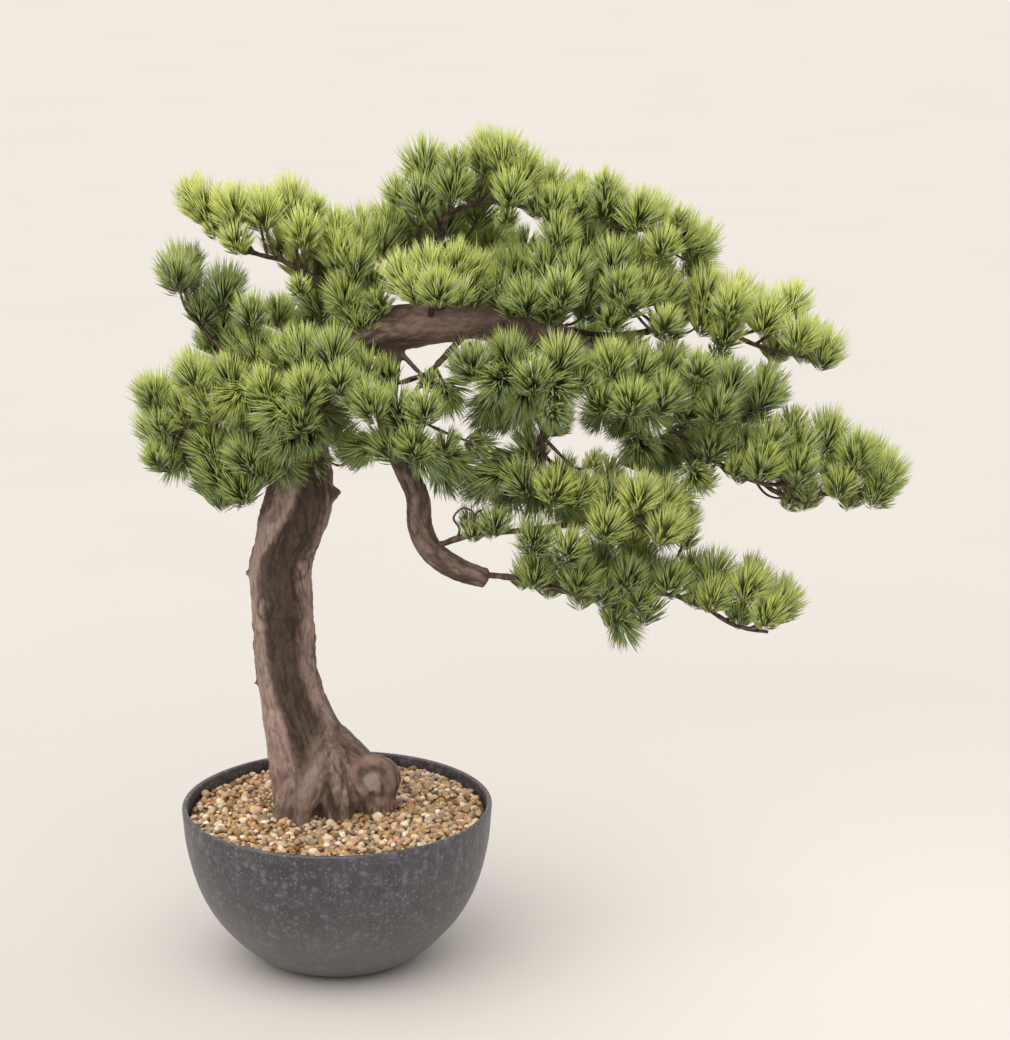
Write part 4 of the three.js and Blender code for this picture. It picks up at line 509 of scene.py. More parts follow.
def tube(P, R, sides=8, first=(0, -1, 0), base=0, wobble=None):
    """Closed tube along P with radii R: vertices and quads and end fans as triangles, plus each vertex's place along it in mm."""
    P = np.asarray(P, float)
    R = np.broadcast_to(np.asarray(R, float), (len(P),))
    T, N, B = frames(P, first)
    a = np.arange(sides) / sides * 2 * np.pi
    r = R[:, None] * np.ones(sides)
    if wobble is not None:
        r = r * wobble(len(P), sides)
    V = P[:, None] + r[..., None] * (np.cos(a)[None, :, None] * N[:, None] + np.sin(a)[None, :, None] * B[:, None])
    V = V.reshape(-1, 3)
    n = len(P)
    k = np.arange(n - 1)[:, None] * sides
    j = np.arange(sides)[None]
    j1 = (j + 1) % sides
    quads = np.stack([k + j, k + j1, k + sides + j1, k + sides + j], -1).reshape(-1, 4)
    tris = np.vstack([quads[:, [0, 1, 2]], quads[:, [0, 2, 3]]])
    c0, c1 = len(V), len(V) + 1
    end0 = P[0] - T[0] * R[0] * 0.35
    end1 = P[-1] + T[-1] * R[-1] * 0.35
    V = np.vstack([V, end0, end1])
    jj = np.arange(sides)
    jn = (jj + 1) % sides
    cap0 = np.stack([np.full(sides, c0), jn, jj], 1)
    last = (n - 1) * sides
    cap1 = np.stack([np.full(sides, c1), last + jj, last + jn], 1)
    s = np.r_[0, np.cumsum(np.linalg.norm(np.diff(P, axis=0), axis=1))]
    along = np.r_[np.repeat(s, sides), s[0], s[-1]]
    round_ = np.r_[np.tile(a, n), 0, 0]
    return V, np.vstack([tris, cap0, cap1]) + base, along, round_


def resample(pts, step, radii=None):
    pts = np.asarray(pts, float)
    t = np.linspace(0, 1, 24 * len(pts))
    S = spline(pts, t)
    s = np.r_[0, np.cumsum(np.linalg.norm(np.diff(S, axis=0), axis=1))]
    n = max(3, int(round(s[-1] / step)) + 1)
    tt = np.interp(np.linspace(0, s[-1], n), s, t)
    P = spline(pts, tt)
    if radii is None:
        return P, tt
    r = np.asarray(radii, float)
    R = spline(np.stack([r, r * 0, r * 0], 1), tt)[:, 0]
    return P, R


# ---------------------------------------------------------------- node materials


def new_material(name):
    m = bpy.data.materials.new(name)
    m.use_nodes = True
    nt = m.node_tree
    nt.nodes.clear()
    out = nt.nodes.new("ShaderNodeOutputMaterial")
    bsdf = nt.nodes.new("ShaderNodeBsdfPrincipled")
    nt.links.new(bsdf.outputs[0], out.inputs[0])
    return m, nt, bsdf


def ramp(nt, fac, stops, mode="LINEAR"):
    n = nt.nodes.new("ShaderNodeValToRGB")
    n.color_ramp.interpolation = mode
    els = n.color_ramp.elements
    while len(els) > 1:
        els.remove(els[-1])
    els[0].position, els[0].color = stops[0]
    for p, c in stops[1:]:
        e = els.new(p)
        e.color = c
    nt.links.new(fac, n.inputs[0])
    return n.outputs[0]


def grey(v):
    return (v, v, v, 1)


def mix(nt, fac, a, b, blend="MIX"):
    n = nt.nodes.new("ShaderNodeMix")
    n.data_type = "RGBA"
    n.blend_type = blend
    n.clamp_factor = True
    for sock, val in ((n.inputs[0], fac), (n.inputs[6], a), (n.inputs[7], b)):
        if isinstance(val, bpy.types.NodeSocket):
            nt.links.new(val, sock)
        else:
            sock.default_value = val
    return n.outputs[2]


def math_node(nt, op, a, b=0.0, c=0.0, clamp=False):
    n = nt.nodes.new("ShaderNodeMath")
    n.operation = op
    n.use_clamp = clamp
    for sock, val in zip(n.inputs, (a, b, c)):
        if isinstance(val, bpy.types.NodeSocket):
            nt.links.new(val, sock)
        else:
            sock.default_value = val
    return n.outputs[0]


def attribute(nt, name, vector=False):
    n = nt.nodes.new("ShaderNodeAttribute")
    n.attribute_name = name
    return n.outputs["Vector"] if vector else n.outputs["Fac"]


def scaled(nt, vec, s):
    n = nt.nodes.new("ShaderNodeMapping")
    n.inputs["Scale"].default_value = s
    nt.links.new(vec, n.inputs["Vector"])
    return n.outputs[0]


def noise_tex(nt, vec, scale, detail=3.0, rough=0.55, distortion=0.0):
    n = nt.nodes.new("ShaderNodeTexNoise")
    n.inputs["Scale"].default_value = scale
    n.inputs["Detail"].default_value = detail
    n.inputs["Roughness"].default_value = rough
    n.inputs["Distortion"].default_value = distortion
    nt.links.new(vec, n.inputs["Vector"])
    return n.outputs[0]


def bump(nt, height, strength, distance, bsdf, below=None):
    n = nt.nodes.new("ShaderNodeBump")
    n.inputs["Strength"].default_value = strength
    n.inputs["Distance"].default_value = distance
    nt.links.new(height, n.inputs["Height"])
    if below is not None:
        nt.links.new(below, n.inputs["Normal"])
    nt.links.new(n.outputs[0], bsdf.inputs["Normal"])
    return n.outputs[0]


# ---------------------------------------------------------------- camera


cam_data = bpy.data.cameras.new("camera")
cam = bpy.data.objects.new("camera", cam_data)
bpy.context.scene.collection.objects.link(cam)
cam.location = (0.1164, -2.0, 0.8434)
cam.rotation_euler = (math.radians(90 - 14.83), 0, 0)
cam_data.sensor_width = 36
cam_data.lens = 105.70
cam_data.clip_start, cam_data.clip_end = 0.05, 80
bpy.context.scene.camera = cam

# ---------------------------------------------------------------- trunk, limbs, roots and burl

BURL_C = np.array([25.0, 1.0, 128.0])
BURL_R = np.array([19.0, 17.0, 18.5])
SPIKES = [((5, 4, 332), 12.5, 13, 1), ((-61.4, 13, 273.5), 5, 10, -1), ((-58.6, 13, 194), 4.5, 10, -1)]


def cone(tip, foot, length, direction, sides=20):
    tip = np.asarray(tip, float)
    P = np.array([tip - np.array([direction, 0, 0.12]) * length * f for f in (1.0, 0.75, 0.5, 0.28, 0.1, 0.02)])
    R = np.array([foot, foot * 0.72, foot * 0.5, foot * 0.33, foot * 0.2, foot * 0.1])
    return tube(P, R, sides)[:2]


limb_lines = {}
parts_v, parts_f, base = [], [], 0
for name, pts in LIMBS.items():
    pts = np.asarray(pts, float)
    P, R = resample(pts[:, :3], 2.0, pts[:, 3])
    T, N, B = frames(P)
    s = np.r_[0, np.cumsum(np.linalg.norm(np.diff(P, axis=0), axis=1))]
    limb_lines[name] = dict(P=P, R=R, T=T, N=N, B=B, s=s)
    V, F, al, an = tube(P, R, 40, base=base)
    parts_v.append(V)
    parts_f.append(F)
    base += len(V)
for tip, foot, length, d in SPIKES:
    V, F = cone(tip, foot, length, d)
    parts_v.append(V)
    parts_f.append(F + base)
    base += len(V)
th = np.linspace(0, np.pi, 25)
P = BURL_C + np.outer(-np.cos(th), (0, 0, 1)) * BURL_R[2]
Rr = np.maximum(np.sin(th), 0.02)
V, F, _, _ = tube(P, Rr, 40)
V = np.vstack([np.stack([BURL_C[0] + (V[:, 0] - BURL_C[0]) * BURL_R[0], BURL_C[1] + (V[:, 1] - BURL_C[1]) * BURL_R[1], V[:, 2]], 1)])
parts_v.append(V)
parts_f.append(F + base)
base += len(V)
rough = mesh_object("rough_trunk", np.vstack(parts_v), np.vstack(parts_f))
mod = rough.modifiers.new("join", "REMESH")
mod.mode = "VOXEL"
mod.voxel_size = 0.00118
mod.adaptivity = 0
dg = bpy.context.evaluated_depsgraph_get()
joined = bpy.data.meshes.new_from_object(rough.evaluated_get(dg))
nv = len(joined.vertices)
W = np.zeros(nv * 3, np.float32)
joined.vertices.foreach_get("co", W)
W = W.reshape(-1, 3).astype(float) / MM
ne = len(joined.edges)
E = np.zeros(ne * 2, np.int32)
joined.edges.foreach_get("vertices", E)
E = E.reshape(-1, 2)
npoly = len(joined.polygons)
L = np.zeros(len(joined.loops), np.int32)
joined.loops.foreach_get("vertex_index", L)
tot = np.zeros(npoly, np.int32)
joined.polygons.foreach_get("loop_total", tot)
bpy.data.objects.remove(rough)
deg = np.bincount(E.ravel(), minlength=nv)[:, None]


def average(X):
    out = np.zeros_like(X)
    for k in range(X.shape[1]):
        out[:, k] = np.bincount(E[:, 0], X[E[:, 1], k], nv) + np.bincount(E[:, 1], X[E[:, 0], k], nv)
    return out / deg


def normals_of(X):
    """Area-weighted vertex normals of the joined mesh (quads)."""
    q = L.reshape(-1, 4)
    n = np.cross(X[q[:, 2]] - X[q[:, 0]], X[q[:, 3]] - X[q[:, 1]])
    out = np.zeros_like(X)
    for c in range(4):
        for k in range(3):
            out[:, k] += np.bincount(q[:, c], n[:, k], nv)
    return unit(out)


for k in range(30):
    W = W + 0.55 * (average(W) - W)
    W = W - 0.50 * (average(W) - W)
print("trunk mesh", nv, npoly, set(tot.tolist()))

# nearest limb, place along it, angle round it
names = list(limb_lines)
dist = np.full((len(names), nv), 1e9)
flow = np.zeros((len(names), nv, 3))
lean = np.zeros((len(names), nv, 3))  # how far the grain runs along x, y and z
meta = np.zeros((len(names), nv, 3))  # angle, radius, length
for li, name in enumerate(names):
    ln = limb_lines[name]
    for a in range(0, nv, 8000):
        X = W[a : a + 8000]
        d2 = ((X[:, None] - ln["P"][None]) ** 2).sum(-1)
        j = d2.argmin(1)
        q = X - ln["P"][j]
        t = (q * ln["T"][j]).sum(1)
        q = q - t[:, None] * ln["T"][j]
        phi = np.arctan2((q * ln["B"][j]).sum(1), (q * ln["N"][j]).sum(1))
        length = ln["s"][j] + t
        R = ln["R"][j]
        dist[li, a : a + 8000] = np.sqrt(d2[np.arange(len(j)), j]) - R
        flow[li, a : a + 8000] = np.stack([R * np.cos(phi), R * np.sin(phi), length + li * 517.0], 1)
        lean[li, a : a + 8000] = ln["T"][j] ** 2
        meta[li, a : a + 8000] = np.stack([phi, R, length], 1)
wgt = np.exp(-np.clip(dist - dist.min(0), 0, 60) / 2.2)
wgt /= wgt.sum(0)

TRUNK = names.index("trunk")
# the darker, sunken strips that run up the trunk: centre angle by height along the trunk, half width, strength
BANDS = [
    ([0, 56, 84, 113, 141, 170, 199, 227, 256, 300, 380, 480, 640], [38, 31, 15, 4, 2, 0, 4, 14, 26, 30, 40, 60, 90], 31, 1.0, 11),
    ([0, 200, 400, 640], [150, 132, 150, 170], 22, 0.8, 23),
    ([0, 200, 400, 640], [-118, -132, -112, -95], 24, 0.85, 37),
]
# the paler, smoother ribs on both sides of them, their paler colour partly their own bark and partly painted highlight:
# heights, centre angles, half widths, strength
RIBS = [
    ([0, 56, 84, 113, 141, 170, 199, 227, 249, 290, 640], [-36, -38, -50, -46, -56, -60, -64, -46, -22, -20, -30], [34, 36, 35, 26, 21, 20, 22, 26, 22, 16, 16], 1.0),
    ([0, 56, 84, 113, 141, 170, 199, 227, 256, 300, 640], [80, 74, 66, 60, 60, 62, 66, 70, 84, 90, 110], [16, 18, 20, 25, 22, 21, 18, 15, 14, 14, 14], 0.8),
    ([0, 100, 200, 300, 640], [185, 178, 186, 174, 180], [20, 24, 22, 20, 18], 0.7),
]
disp = np.zeros(nv)
crevice_shade = np.zeros(nv)
pale_and_highlight = np.zeros(nv)
dark = np.zeros(nv)
ridge_highlight = np.zeros(nv)
tone_and_light = np.zeros(nv)
warm_highlight = np.zeros(nv)
grain_dir = np.zeros((nv, 3))
for li, name in enumerate(names):
    use = wgt[li] > 0.004
    if not use.any():
        continue
    Q = flow[li][use].copy()
    phi, R, length = meta[li][use].T
    tw = 0.004 * length
    c, s_ = np.cos(tw), np.sin(tw)
    Q = np.stack([Q[:, 0] * c - Q[:, 1] * s_, Q[:, 0] * s_ + Q[:, 1] * c, Q[:, 2]], 1)
    wander = noise3(Q / [16, 16, 26], 5)[:, None] * [2.4, -2.0, 0]
    Qw = Q + wander
    n1 = noise3(Qw / [6.6, 6.6, 24], 1)
    n2 = noise3(Qw / [3.4, 3.4, 9.5], 2)
    n3 = noise3(Q / [8, 8, 14], 3)
    n4 = noise3(Qw / [1.9, 1.9, 4.0], 4)
    n5 = noise3(Q / [13, 13, 30], 9)
    n6 = noise3(Qw / [5.0, 5.0, 5.5], 6)
    size = np.clip(R / 20.0, 0.34, 1.1)
    f1 = np.exp(-((n1 / 0.15) ** 2))
    f2 = np.exp(-((n2 / 0.19) ** 2))
    f3 = np.exp(-((n6 / 0.13) ** 2))
    keep1 = smooth(-0.35, 0.15, n5)
    keep3 = smooth(-0.1, 0.4, n3)
    d = size * (-1.1 * f1 * (0.45 + 0.55 * keep1) - 0.6 * f2 - 0.45 * f3 * keep3 + 0.95 * n3 + 1.15 * n5) + 0.3 * n4
    # the furrows and low parts are painted dark from this mask: painted shade
    shade_cv = np.clip(0.62 * f1 * (0.45 + 0.55 * keep1) + 0.40 * f2 + 0.3 * f3 * keep3 + 0.3 * smooth(0, -0.5, n3), 0, 1)
    # the raised parts of the bark, painted paler: painted highlight
    ridge_lit = np.clip(smooth(0.05, 0.6, n3 + 0.6 * n5) * (1 - f1), 0, 1)
    dk = np.zeros(len(d))
    pale_and_lit = np.zeros(len(d))
    if name == "trunk":
        for hs, angs, halves, strength in RIBS:
            mid = np.interp(length, hs, angs) + 7 * noise3(np.stack([length / 34, length * 0 + 3, length * 0 + angs[0]], 1), 71)
            delta = np.abs((np.degrees(phi) - mid + 180) % 360 - 180)
            wid = np.interp(length, hs, halves) * (1 + 0.25 * noise3(np.stack([length / 26, length * 0 + 9, length * 0 + angs[0]], 1), 72))
            pale_and_lit = np.maximum(pale_and_lit, strength * (1 - smooth(wid - 9, wid + 6, delta)) * (1 - 0.6 * smooth(300, 420, length)))
        # the bent-over top of the trunk painted paler and warmer: painted highlight
        pale_and_lit = np.clip(pale_and_lit + 0.9 * smooth(395, 450, length), 0, 1)
        warm_highlight[use] += wgt[li][use] * 0.75 * smooth(395, 450, length)
        d = d * (1 - 0.35 * pale_and_lit) + 0.7 * pale_and_lit * size
        shade_cv = shade_cv * (1 - 0.5 * pale_and_lit)
        for hs, angs, half, strength, seed in BANDS:
            mid = np.interp(length, hs, angs) + 9 * noise3(np.stack([length / 38, length * 0, length * 0 + seed], 1), seed)
            delta = (np.degrees(phi) - mid + 180) % 360 - 180
            wid = half * (1 + 0.28 * noise3(np.stack([length / 30, length * 0 + 7, length * 0 + seed], 1), seed + 1))
            m = strength * (1 - smooth(wid - 7, wid + 4, np.abs(delta)))
            edge = strength * np.exp(-(((np.abs(delta) - wid) / 6.0) ** 2))
            fade = 1 - 0.5 * smooth(330, 420, length) - 0.3 * smooth(400, 450, length)
            m, edge = m * fade, edge * fade
            d -= size * (1.3 * m + 0.8 * edge)
            dk = np.maximum(dk, m)
            # the band edges painted darker: painted shade
            shade_cv = np.clip(shade_cv + 0.32 * edge, 0, 1)
        # knobs where twigs were taken off, each with a ring painted dark round it: painted shade
        rng = np.random.default_rng(41)
        for k in range(34):
            kl, ka, kr = rng.uniform(20, 560), rng.uniform(-180, 180), rng.uniform(2.4, 4.6)
            kh = rng.uniform(0.7, 1.7)
            dd = np.sqrt(((length - kl) / 1.5) ** 2 + ((((np.degrees(phi) - ka + 180) % 360) - 180) * np.pi / 180 * R) ** 2)
            d += kh * np.exp(-((dd / kr) ** 2))
            shade_cv = np.clip(shade_cv + 0.5 * np.exp(-(((dd - kr * 1.5) / 1.2) ** 2)), 0, 1)
    if name == "droop":
        dk = np.full(len(d), 0.32)
    w = wgt[li][use]
    disp[use] += w * d
    crevice_shade[use] += w * shade_cv
    dark[use] += w * dk
    ridge_highlight[use] += w * ridge_lit
    pale_and_highlight[use] += w * pale_and_lit
    if name == "trunk":
        # the bent-over top painted lighter again: painted highlight
        tone_and_light[use] += w * 0.24 * smooth(395, 450, length)
    tone_and_light[use] += w * (0.5 + 0.5 * (0.65 * noise3(Q / [11, 11, 30], 12) + 0.45 * noise3(Q / [5, 5, 10], 13)))
    grain_dir[use] += w[:, None] * lean[li][use]

# callus ring on the front of the burl, round a pale scar with a hollow under it; the groove in the ring and the hollow
# are painted dark as painted shade
scar = np.array([25.8, -15.2, 132.0])
axis = unit(np.array([0.10, -0.95, 0.28]))
q = W - scar
h = q @ axis
rad = np.linalg.norm(q - h[:, None] * axis, axis=1)
near = np.exp(-((np.clip(np.abs(h) - 6.5, 0, None) / 5) ** 2))
ang = np.arctan2(q @ np.cross(axis, [1, 0, 0]), q[:, 0])
rr_ = rad * (1 + 0.11 * np.sin(2 * ang + 0.6) + 0.07 * np.sin(3 * ang + 2.1) + 0.04 * np.sin(7 * ang))
rough_ = 1 + 0.35 * noise3(W / 5.0, 61)
ring = np.exp(-(((rr_ - 13.4) / 3.2) ** 2)) * near
inner = (1 - smooth(3.2, 7.4, rr_)) * near
groove2 = np.exp(-(((rr_ - 8.9) / 1.6) ** 2)) * near * (0.55 + 0.45 * np.cos(ang - 2.6)) * rough_
disp = disp * (1 - 0.4 * np.clip(ring + inner, 0, 1)) + 2.0 * ring * rough_ - 0.8 * inner - 1.4 * groove2
# the hollow under the scar is sunk and painted dark: painted shade
low = (1 - smooth(1.5, 7.0, np.linalg.norm((W - np.array([24.0, -17.0, 118.0])) * [0.8, 1, 1], axis=1))) * rough_
disp -= 2.8 * low
crevice_shade = np.clip(crevice_shade * (1 - 0.35 * np.clip(ring + inner, 0, 1)) + 0.75 * groove2 + 0.9 * low, 0, 1)
scar_mask = np.clip(inner * 1.1 * rough_, 0, 1) * (1 - np.clip(low, 0, 1))
foot = smooth(8, -2, W[:, 1])
face = np.exp(-(((W[:, 0] + 17 - 0.3 * (W[:, 2] - 137)) / 6.0) ** 2) - ((W[:, 2] - 134) / 14.0) ** 2) * foot
# a crease at the foot, sunk and painted dark: painted shade
crease = np.exp(-(((W[:, 0] + 5 + 0.12 * (W[:, 2] - 126)) / 2.8) ** 2) - ((W[:, 2] - 123) / 15.0) ** 2) * foot
disp = disp + 0.8 * face - 2.2 * crease
crevice_shade = np.clip(crevice_shade * (1 - 0.4 * face) + 0.8 * crease, 0, 1)
dark = dark * (1 - 0.6 * face)
scar_mask = np.maximum(scar_mask, 0.75 * face * (0.8 + 0.2 * rough_))
# pink marks the burl ring's own pinkish brown and the painted warm highlight on the bent-over top
pink_and_highlight = np.maximum(ring * (1 - np.clip(low, 0, 1)), warm_highlight)

# hollows between the roots, low at the front and the back, sunk and painted dark: painted shade
for hx, hy, hz, hr, hd in ((-31, -23, 110, 5, 2.6), (13, -22, 110, 5, 2.0), (-44, 18, 112, 6, 2.6), (2, 36, 112, 6.5, 2.8), (-14, 44, 108, 5, 2.2)):
    g = 1 - smooth(0.25 * hr, 1.3 * hr, np.linalg.norm((W - [hx, hy, hz]) * [1, 1, 0.62], axis=1))
    disp -= hd * g
    crevice_shade = np.clip(crevice_shade + 0.8 * g, 0, 1)

# blunt cut end of the drooping limb and of the other limbs
cut = np.zeros(nv)
for name in ("droop", "prop", "upper", "left", "back", "trunk"):
    ln = limb_lines[name]
    end, T = ln["P"][-1], ln["T"][-1]
    qq = W - end
    hh = qq @ T
    rr = np.linalg.norm(qq - hh[:, None] * T, axis=1)
    face = smooth(-1.2, 0.2, hh) * (1 - smooth(ln["R"][-1] * 1.4, ln["R"][-1] * 2.2, rr))
    cut = np.maximum(cut, face * (1 - smooth(ln["R"][-1] * 0.72, ln["R"][-1] * 0.9, rr)))
    disp *= 1 - 0.8 * face

Nrm = normals_of(W)
W2 = W + Nrm * disp[:, None]
# no part of the trunk goes under its foot in the frame
lo_z = float(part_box("trunk")[0][2]) / MM
W2[:, 2] = np.maximum(W2[:, 2], lo_z)
for k in range(1):
    W2 = W2 + 0.22 * (average(W2) - W2)
bark = mesh_object(
    "bark_trunk", W2, L, tot,
    attrs=dict(crevice_shade=crevice_shade, dark=dark, ridge_highlight=ridge_highlight, tone_and_light=np.clip(tone_and_light, 0, 1), scar=scar_mask, cut=cut, pale_and_highlight=np.clip(pale_and_highlight, 0, 1), pink_and_highlight=np.clip(pink_and_highlight, 0, 1), grain=grain_dir))
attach(bark, "root")
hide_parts("trunk")


def along_grain(nt, obj, sep, scale, stretch, detail, rough):
    """Noise drawn out along the limb, whichever way the limb runs."""
    total = None
    for k in range(3):
        s = [1.0, 1.0, 1.0]
        s[k] = stretch
        n = noise_tex(nt, scaled(nt, obj, s), scale, detail, rough, 0.25)
        t = math_node(nt, "MULTIPLY", n, sep.outputs[k])
        total = t if total is None else math_node(nt, "ADD", total, t)
    return total


def bark_material():
    m, nt, b = new_material("bark")
    shade_cv, dk, ridge_lit_in, tn = (attribute(nt, k) for k in ("crevice_shade", "dark", "ridge_highlight", "tone_and_light"))
    obj = nt.nodes.new("ShaderNodeTexCoord").outputs["Object"]
    sep = nt.nodes.new("ShaderNodeSeparateXYZ")
    nt.links.new(attribute(nt, "grain", True), sep.inputs[0])
    grain = along_grain(nt, obj, sep, 480, 0.3, 4, 0.62)
    flakes = along_grain(nt, obj, sep, 210, 0.5, 3, 0.6)
    patch = noise_tex(nt, obj, 70, 3, 0.6, 0.4)
    col = ramp(nt, tn, [(0.25, lin("#5f4a43")), (0.42, lin("#755d55")), (0.58, lin("#87706a")), (0.78, lin("#9a837a"))])
    col = mix(nt, ramp(nt, patch, [(0.42, grey(0)), (0.68, grey(0.5))]), col, lin("#8c7b6b"))
    col = mix(nt, ramp(nt, flakes, [(0.52, grey(0)), (0.66, grey(0.36))]), col, lin("#a8948a"))
    # raised parts painted paler: painted highlight
    col = mix(nt, math_node(nt, "MULTIPLY", ridge_lit_in, 0.26), col, lin("#a8928a"))
    # ribs painted paler, partly their own smoother bark and partly painted highlight; the bent-over top painted paler
    # as painted highlight
    col = mix(nt, math_node(nt, "MULTIPLY", attribute(nt, "pale_and_highlight"), 0.62), col, lin("#ab938b"))
    col = mix(nt, math_node(nt, "MULTIPLY", dk, 0.86), col, lin("#3e322a"))
    col = mix(nt, ramp(nt, flakes, [(0.34, grey(0.4)), (0.47, grey(0))]), col, lin("#3b2f28"))
    # furrows, creases, hollows and rings round knobs painted dark brown: painted shade
    col = mix(nt, ramp(nt, shade_cv, [(0.15, grey(0)), (0.8, grey(0.72))]), col, lin("#33281f"))
    # burl ring in its own pinkish brown; the bent-over top painted pinker as painted warm highlight
    col = mix(nt, math_node(nt, "MULTIPLY", attribute(nt, "pink_and_highlight"), 0.5), col, lin("#8a6a5f"))
    col = mix(nt, math_node(nt, "MULTIPLY", attribute(nt, "scar"), 0.55), col, lin("#a3948a"))
    col = mix(nt, math_node(nt, "MULTIPLY", attribute(nt, "cut"), 0.7), col, lin("#5b4640"))
    col = mix(nt, 0.5, col, ramp(nt, grain, [(0.32, grey(0.5)), (0.5, grey(0.95)), (0.68, grey(1.3))]), "MULTIPLY")
    nt.links.new(col, b.inputs["Base Color"])
    b.inputs["Roughness"].default_value = 0.76
    b.inputs["Specular IOR Level"].default_value = 0.28
    n0 = bump(nt, flakes, 0.6, 0.0014, b)
    n1 = bump(nt, grain, 0.55, 0.0009, b, n0)
    bump(nt, noise_tex(nt, obj, 1100, 3, 0.6), 0.35, 0.0004, b, n1)
    return m


bark.data.materials.append(bark_material())

# ---------------------------------------------------------------- sprays: stems, side twigs and needles

rng = np.random.default_rng(8)
crown_mid = np.array([128.0, 0, 390.0])
NEEDLES = 300


def shoot_path(stem, tuft):
    c, R, ax, t = np.array(tuft[:3]), tuft[3], unit(np.array(tuft[4:7])), tuft[7]
    if ax[2] > 0.15:
        ax = unit(ax * [0.72, 0.72, 1.0] + [0, 0, 0.24])
    root = spline(stem, np.array([t]))[0]
    end = c - 0.25 * R * ax
    elbow = end - 0.45 * np.linalg.norm(root - end) * ax
    mid = 0.25 * root + 0.5 * elbow + 0.25 * end
    return root, mid, end, c, R, ax


def needle_block(root, tip, w, bend, tone_and_light, v0=0.0):
    """Six-faced closed needles, three-sided, thickest near the middle. Returns vertices, faces, uv."""
    n = len(root)
    d = unit(tip - root)
    side = np.cross(d, np.array([0.31, 0.22, 0.93]))
    side = unit(side)
    other = np.cross(d, side)
    roll = rng.uniform(0, 2 * np.pi, n)[:, None]
    e1 = side * np.cos(roll) + other * np.sin(roll)
    e2 = np.cross(d, e1)
    mid = root + (tip - root) * rng.uniform(0.46, 0.6, n)[:, None] + bend
    V = np.zeros((n, 5, 3))
    V[:, 0] = root
    for k in range(3):
        a = k * 2 * np.pi / 3
        V[:, 1 + k] = mid + w[:, None] * (math.cos(a) * e1 + math.sin(a) * e2)
    V[:, 4] = tip
    f = []
    for k in range(3):
        k1 = (k + 1) % 3
        f.append((1 + k, 1 + k1, 4))
        f.append((1 + k1, 1 + k, 0))
    F = (np.arange(n)[:, None, None] * 5 + np.array(f)[None]).reshape(-1, 3)
    uv = np.zeros((n, 5, 2))
    u = np.clip(tone_and_light, 0.015, 0.985)
    uv[:, :, 0] = u[:, None]
    uv[:, 1, 0] -= 0.008
    uv[:, 3, 0] += 0.008
    uv[:, 0, 1] = 0.01
    uv[:, 1:4, 1] = 0.5
    uv[:, 4, 1] = 0.99
    return V.reshape(-1, 3), F, uv.reshape(-1, 2)


def tuft_needles(end, c, R, ax, tone_and_light, count):
    """Needles that leave the last three centimetres of the shoot in small bunches and lean forward, like a shaving brush."""
    bunches = max(12, int(count / 3.4))
    b = np.arange(bunches) + 0.5
    low = math.cos(math.radians(118))
    cz = 1 - (1 - low) * (b / bunches) ** 1.06
    az = b * 2.399963 + rng.uniform(0, 6.28)
    th = np.arccos(np.clip(cz, -1, 1)) + rng.normal(0, 0.11, bunches)
    az = az + rng.normal(0, 0.18, bunches) / np.maximum(np.sin(th), 0.25)
    reach_b = 1.0 + rng.normal(0, 0.085, bunches)
    who = rng.integers(0, bunches, count)
    thn = th[who] + rng.normal(0, 0.10, count)
    azn = az[who] + rng.normal(0, 0.10, count) / np.maximum(np.sin(np.clip(thn, 0.1, 3.0)), 0.25)
    e1 = unit(np.cross(ax, [0.37, 0.81, 0.29]))
    e2 = np.cross(ax, e1)
    dirn = np.cos(thn)[:, None] * ax + np.sin(thn)[:, None] * (np.cos(azn)[:, None] * e1 + np.sin(azn)[:, None] * e2)
    deg_ = np.degrees(np.abs(thn))
    reach = R * reach_b[who] * (1.0 - 0.10 * smooth(80, 118, deg_)) * rng.uniform(0.84, 1.07, count)
    tip = c + dirn * reach[:, None]
    s = np.clip(deg_ / 118.0, 0, 1.1)
    start = c - ax * (R * (0.22 + 0.72 * s))[:, None] + dirn * 0.03 * R + rng.normal(0, 0.55, (count, 3))
    ln = np.linalg.norm(tip - start, axis=1)
    out = unit(dirn - (dirn @ ax)[:, None] * ax)
    bend = (out * 0.05 * rng.uniform(-0.2, 1.2, count)[:, None] + rng.normal(0, 0.016, (count, 3))) * ln[:, None]
    w = rng.uniform(0.36, 0.5, count)
    up = dirn[:, 2]
    # needles that point up are painted brighter: partly young growth, partly painted light from above
    tn = tone_and_light + 0.19 * up + rng.normal(0, 0.085, count) + 0.07 * (rng.random(bunches)[who] - 0.5)
    tn = 0.02 + 0.86 * np.clip(tn, 0, 1)
    # about one needle in nine painted pale grey-green: painted glints
    pale_and_highlight = rng.random(count) < 0.11
    tn = np.where(pale_and_highlight, rng.uniform(0.94, 0.975, count), tn)
    return needle_block(start, tip, w, bend, tn)


TONES = {  # 0 is dark blue-green, 1 is bright yellow-green
    "apex": 0.68, "upper_left": 0.96, "left_small": 0.35, "upper_right": 0.74, "right_high": 0.82, "far_right": 0.62,
    "left_tip": 0.6, "left_low": 0.6, "left_high": 0.66, "left_inner": 0.54, "upper_mid": 0.60, "upper_front": 0.74,
    "mid_high": 0.53, "mid_high_right": 0.62, "mid_left": 0.48, "mid_right": 0.56, "right_mid": 0.54, "right_low": 0.58,
    "low_mid": 0.54, "low_front": 0.90, "low_long": 0.64, "front_left": 0.55, "back_left": 0.48, "back_top": 0.54,
    "back_mid": 0.50, "back_right": 0.50, "back_low": 0.44, "back_left_low": 0.46,
}


